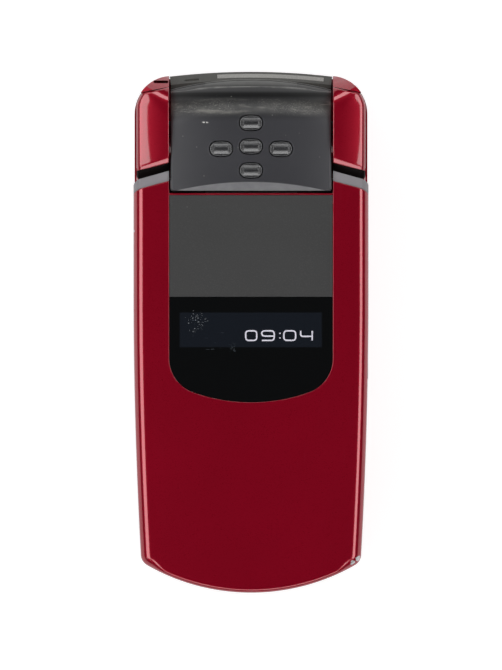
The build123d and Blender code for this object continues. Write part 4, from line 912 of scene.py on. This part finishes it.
def module_skin():
    """The hinge module's cover as one sheet of profiles carried across.

    A profile runs up a plumb front, over a bevel of 42 degrees and the facet, round the
    barrel to the cover's rear edge and down its thickness. The bevel's plane meets the
    crowned facet in an arc. The faces under the five keys are left out.
    """
    x, drop = module_lines()
    bevel, bevel_run = np.tan(np.radians(42)), 1.78
    low_y, low_z = MODULE_FRONT_Y + 0.1, FACET_FRONT_Z - bevel_run * bevel
    back_y = 45.6
    key_gap, facet_lowest_z = 0.32, 17.5
    arc_y = (low_z - facet_height(x, 0.0) - low_y * bevel) / (FACET_SLOPE - bevel)
    arc_y = np.maximum(arc_y, low_y + 0.02)
    rows_y, rows_z = [], []

    def add_row(y, z):
        """One more line across, of a height and place at each distance."""
        rows_y.append(np.broadcast_to(y, x.shape))
        rows_z.append(np.broadcast_to(z, x.shape))

    for share in (0.0, 0.5, 0.97):
        add_row(MODULE_FRONT_Y, MODULE_LOW_Z + share * (low_z - 0.1 - MODULE_LOW_Z))
    add_row(MODULE_FRONT_Y + 0.03, low_z - 0.03)
    for share in np.linspace(0, 0.96, 9):
        y = low_y + share * (arc_y - low_y)
        add_row(y, low_z + (y - low_y) * bevel)
    add_row(arc_y, module_surface(x, arc_y) - 0.02)
    for share in np.linspace(0, 1, 74)[1:]:
        y = arc_y + share * (back_y - arc_y)
        add_row(y, module_surface(x, y))
    reach = barrel_reach(x)
    edge_y = np.interp(np.abs(x), (0, 7.5, 10.8, 13.5, 17.0), (51.2, 51.1, 50.85, 50.3, 50.0))
    first = np.arcsin((back_y - HINGE_Y) / reach)
    last = np.arcsin((edge_y - HINGE_Y) / reach)
    for share in np.linspace(0, 1, 30)[1:]:
        turn = first + share * (last - first)
        y = HINGE_Y + reach * np.sin(turn)
        add_row(y, module_surface(x, y) if share < 0.4 else HINGE_Z + reach * np.cos(turn))
    turn = last + 0.05 / reach
    for inside in (reach - 0.05, reach - 0.3):
        add_row(HINGE_Y + inside * np.sin(turn), HINGE_Z + inside * np.cos(turn))
    y, z = np.array(rows_y), np.array(rows_z)
    z = z - drop[None, :]
    z[0] = MODULE_LOW_Z
    front_rows = 12
    front_pull = drop[None, :] * (np.arange(len(z)) < front_rows)[:, None]
    points = np.stack([np.broadcast_to(x, y.shape), y + front_pull, z], axis=-1)
    cap = points[:, [0, -1]].copy()
    cap[..., 2] = MODULE_LOW_Z
    points = np.concatenate([cap[:, :1], points, cap[:, 1:]], axis=1)
    quads = grid_quads(*points.shape[:2])
    flat = points.reshape(-1, 3)
    middle = flat[quads].mean(axis=1)
    covered = np.zeros(len(quads), dtype=bool)
    for key_x, key_y in MUSIC_KEYS.values():
        covered |= oval_distance(middle[:, 0], middle[:, 1], key_x, key_y) < KEY_WIDE + key_gap
    covered &= middle[:, 2] > facet_lowest_z
    mesh_piece(
        "hinge_module_skin", flat, quads[~covered], MODULE, "flip",
        ("hinge_module_cover",),
    )


def barrel_back():
    """The barrel between the cover's edge and the lower barrel, 0.1 inside the cover."""
    x = np.linspace(-MODULE_X, MODULE_X, 61)
    reach = barrel_reach(x) - 0.1
    last = np.arccos((MODULE_LOW_Z - 0.05 - HINGE_Z) / reach)
    turn = np.linspace(np.full_like(x, np.radians(48)), last, 16)
    points = np.stack([
        np.broadcast_to(x, turn.shape), HINGE_Y + reach * np.sin(turn),
        HINGE_Z + reach * np.cos(turn),
    ], axis=-1)
    surface("barrel_back", points, BARREL, "flip")


def oval_rings(key_x, key_y, inward):
    """Plan of rings at distances inside an oval's edge, and the local places of their points."""
    straight = KEY_LONG - KEY_WIDE
    turn = np.linspace(0, 2 * np.pi, 97)[:-1]
    core = straight * np.clip(np.cos(turn) * 2.2, -1, 1)
    ring = KEY_WIDE - np.asarray(inward)[:, None]
    x = core[None, :] + np.cos(turn)[None, :] * ring
    y = np.sin(turn)[None, :] * ring
    return key_x + x, key_y + y, x, y


def dish_depth(side, ahead):
    """Depth of a music key's dish: a trough with two sloping walls that meets steep ends.

    0.42 deep in the middle, less 0.43 per mm towards the hinge and 0.45 per mm away from it,
    with a soft bottom: the distance used is the root of its square plus 0.05, less 0.22.
    """
    deep, end_side = 0.42, 1.85
    slope = np.where(ahead > 0, 0.43, 0.45)
    trough = np.maximum(deep - slope * (np.sqrt(ahead**2 + 0.05) - 0.22), 0)
    return trough * smooth_step((end_side - np.abs(side)) / 0.3)


def key_black():
    """Black plastic of the music keys, polished in the dish and dusty at the rim."""
    f = Finish("music_key_black", srgb(52, 52, 54), 0.2)
    f.set("Specular IOR Level", 1.0)
    f.set("Coat Weight", 0.7)
    f.set("Coat Roughness", 0.12)
    f.set("Coat IOR", 1.7)
    tone = f.colours(f.noise(500, 3), srgb(46, 46, 48), srgb(58, 58, 60))
    dust = f.times(f.specks(1500, 0.14, 0.15), 0.6)
    f.feed("Base Color", f.colours(dust, tone, srgb(140, 140, 136)))
    f.feed("Roughness", f.numbers(f.noise(900, 2), 0.2, 0.3))
    f.bump(f.noise(4000, 2), 0.008, 0.3)
    return f.material


MUSIC_BLACK = key_black()


def music_key(place, key_x, key_y):
    """An oval key and the rim round its hole.

    The key's rings shrink from an oval to its middle line. Its height is a quarter round at
    the edge, a rim, and the dish. Round the key's hole a ring lies on the module and turns
    down into it.
    """
    proud, rounding, foot = 0.24, 0.2, -1.1
    inward = np.array([0.0, 0.0, 0.02, 0.06, 0.13, 0.2, 0.26, 0.34, 0.44, 0.54, 0.66, 0.78, 0.9,
                       1.0, 1.1, 1.2, 1.3, 1.4, 1.5, 1.549])
    x, y, side, ahead = oval_rings(key_x, key_y, inward)
    edge = np.clip(inward / rounding, 0, 1)
    height = proud - rounding * (1 - np.sqrt(1 - (1 - edge) ** 2))
    height[0] = foot
    z = module_surface(x, y) + height[:, None] - dish_depth(side, ahead)
    name = "music_key_" + place
    surface(
        name + "_cap", np.stack([x, y, z], axis=-1), MUSIC_BLACK, name, (name,),
        closed=True,
    )
    x, y, _, _ = oval_rings(key_x, key_y, [-0.55, -0.4, -0.24, -0.2, -0.17, -0.16, -0.1])
    lift = np.array([-0.03, 0.012, 0.014, 0.0, -0.05, -0.9, -1.05])
    z = module_surface(x, y) + lift[:, None]
    surface(
        name + "_rim", np.stack([x, y, z], axis=-1), MODULE, "flip", closed=True
    )


module_skin()
barrel_back()
for place, (key_x, key_y) in MUSIC_KEYS.items():
    music_key(place, key_x, key_y)


# ==== shoulders =============================================================

# the shoulders' lacquer carries painted shade on the step under the lid's end
SHOULDER_RED = lacquer("shoulder_lacquer", dark="step")


def base_side(y):
    """Half width of the base in plan near its bowed end: the side, then a corner of R 8."""
    half_width, end_bow, corner = 24.3, 145.0, 8.0
    corner_x = half_width - corner
    corner_y = END_Y - end_bow + np.sqrt((end_bow - corner) ** 2 - corner_x**2)
    into = np.clip(y - corner_y, 0, corner - 0.01)
    return corner_x + np.sqrt(corner**2 - into**2)


def shoulder(side, name):
    """A shoulder: profiles from front to back, carried outwards from its inner face.

    The drum about the hinge line, 0.2 larger for each mm outwards, up to a step painted dark as
    shade; then a plumb wall, a bowed bevel, the top, and the drum again down to the rear case's
    ear. The top is bowed front to back by R 34, crowned outwards by R 34, and falls 0.08 in 1.
    The outer face has a round of 0.9.
    """
    rounding = 0.9
    roof_z, roof_y, roof_fall, roof_bow, crease = 21.15, 45.22, 0.08, 34, 1.4
    low_z, step_z = 9.95, 17.3
    wall_y, bevel_deep, back_y, back_slant = 35.2, 1.25, 51.2, 0.2011
    turn = np.radians(np.linspace(0, 90, 8))[1:]
    width = SHOULDER_OUT - SHOULDER_IN
    inside = np.linspace(0, width - rounding, 26)
    across = np.concatenate([inside, width - rounding * (1 - np.sin(turn))])
    drop = np.concatenate([np.zeros(len(inside)), rounding * (1 - np.cos(turn))])
    reach = SHOULDER_DRUM + DRUM_FLARE * across - drop

    def top(y):
        """Height of the top: the roof or the drum, whichever is lower, rounded between."""
        bow = roof_bow - np.sqrt(roof_bow**2 - (y - roof_y) ** 2)
        roof = roof_z - roof_fall * across - across**2 / (2 * roof_bow) - bow - drop
        drum = HINGE_Z + np.sqrt(np.maximum(reach**2 - (y - HINGE_Y) ** 2, 0.01))
        return soft_minimum(roof, drum, crease)

    wall = wall_y - SHOULDER_SLANT * across + drop * 0.7
    bend = bevel_deep - roof_fall * across
    rows = []
    start = np.arcsin((low_z - HINGE_Z) / reach)
    stop = np.arcsin((step_z - HINGE_Z) / reach)
    for share in np.linspace(0, 1, 10):
        angle = start + share * (stop - start)
        rows.append((HINGE_Y - reach * np.cos(angle), HINGE_Z + reach * np.sin(angle)))
    rows.append((rows[-1][0] + 0.08, np.full_like(across, step_z + 0.03)))
    rows.append((wall - 0.08, np.full_like(across, step_z + 0.03)))
    rows.append((wall, np.full_like(across, step_z + 0.1)))
    head = top(wall + bend)
    rows.append((wall, head - 0.62 * bend))
    for share in np.linspace(0.04, 1, 9):
        rows.append((wall + bend * share, head - 0.5 * bend * (1 - share) ** 1.12))
    back = back_y - (across + 1.0) * back_slant
    for share in np.linspace(0, 1, 44)[1:]:
        y = wall + bend + share * (back - wall - bend)
        rows.append((y, top(y)))
    rows.append((back, top(back) - 0.5))
    y, z = np.array(rows).transpose(1, 0, 2)
    widest = np.minimum(base_side(y) - 0.25, SHOULDER_OUT)
    x = SHOULDER_IN + across[None, :] * (widest - SHOULDER_IN) / width
    points = np.stack([x, y, z], axis=-1)

    # the inner and the outer face go down to the base
    faces = []
    for column in (0, -1):
        near = points[:, [column]].copy()
        low = near.copy()
        low[..., 2] = low_z
        near[..., 2] = np.maximum(near[..., 2] - 0.04, low_z)
        faces.append((near, low))
    points = np.concatenate([*faces[0][::-1], points, *faces[1]], axis=1)
    points[..., 0] *= side
    if side > 0:
        points = points[:, ::-1]
    surface(name + "_form", points, SHOULDER_RED, "base", (name,))


shoulder(-1, "left_shoulder")
shoulder(1, "right_shoulder")
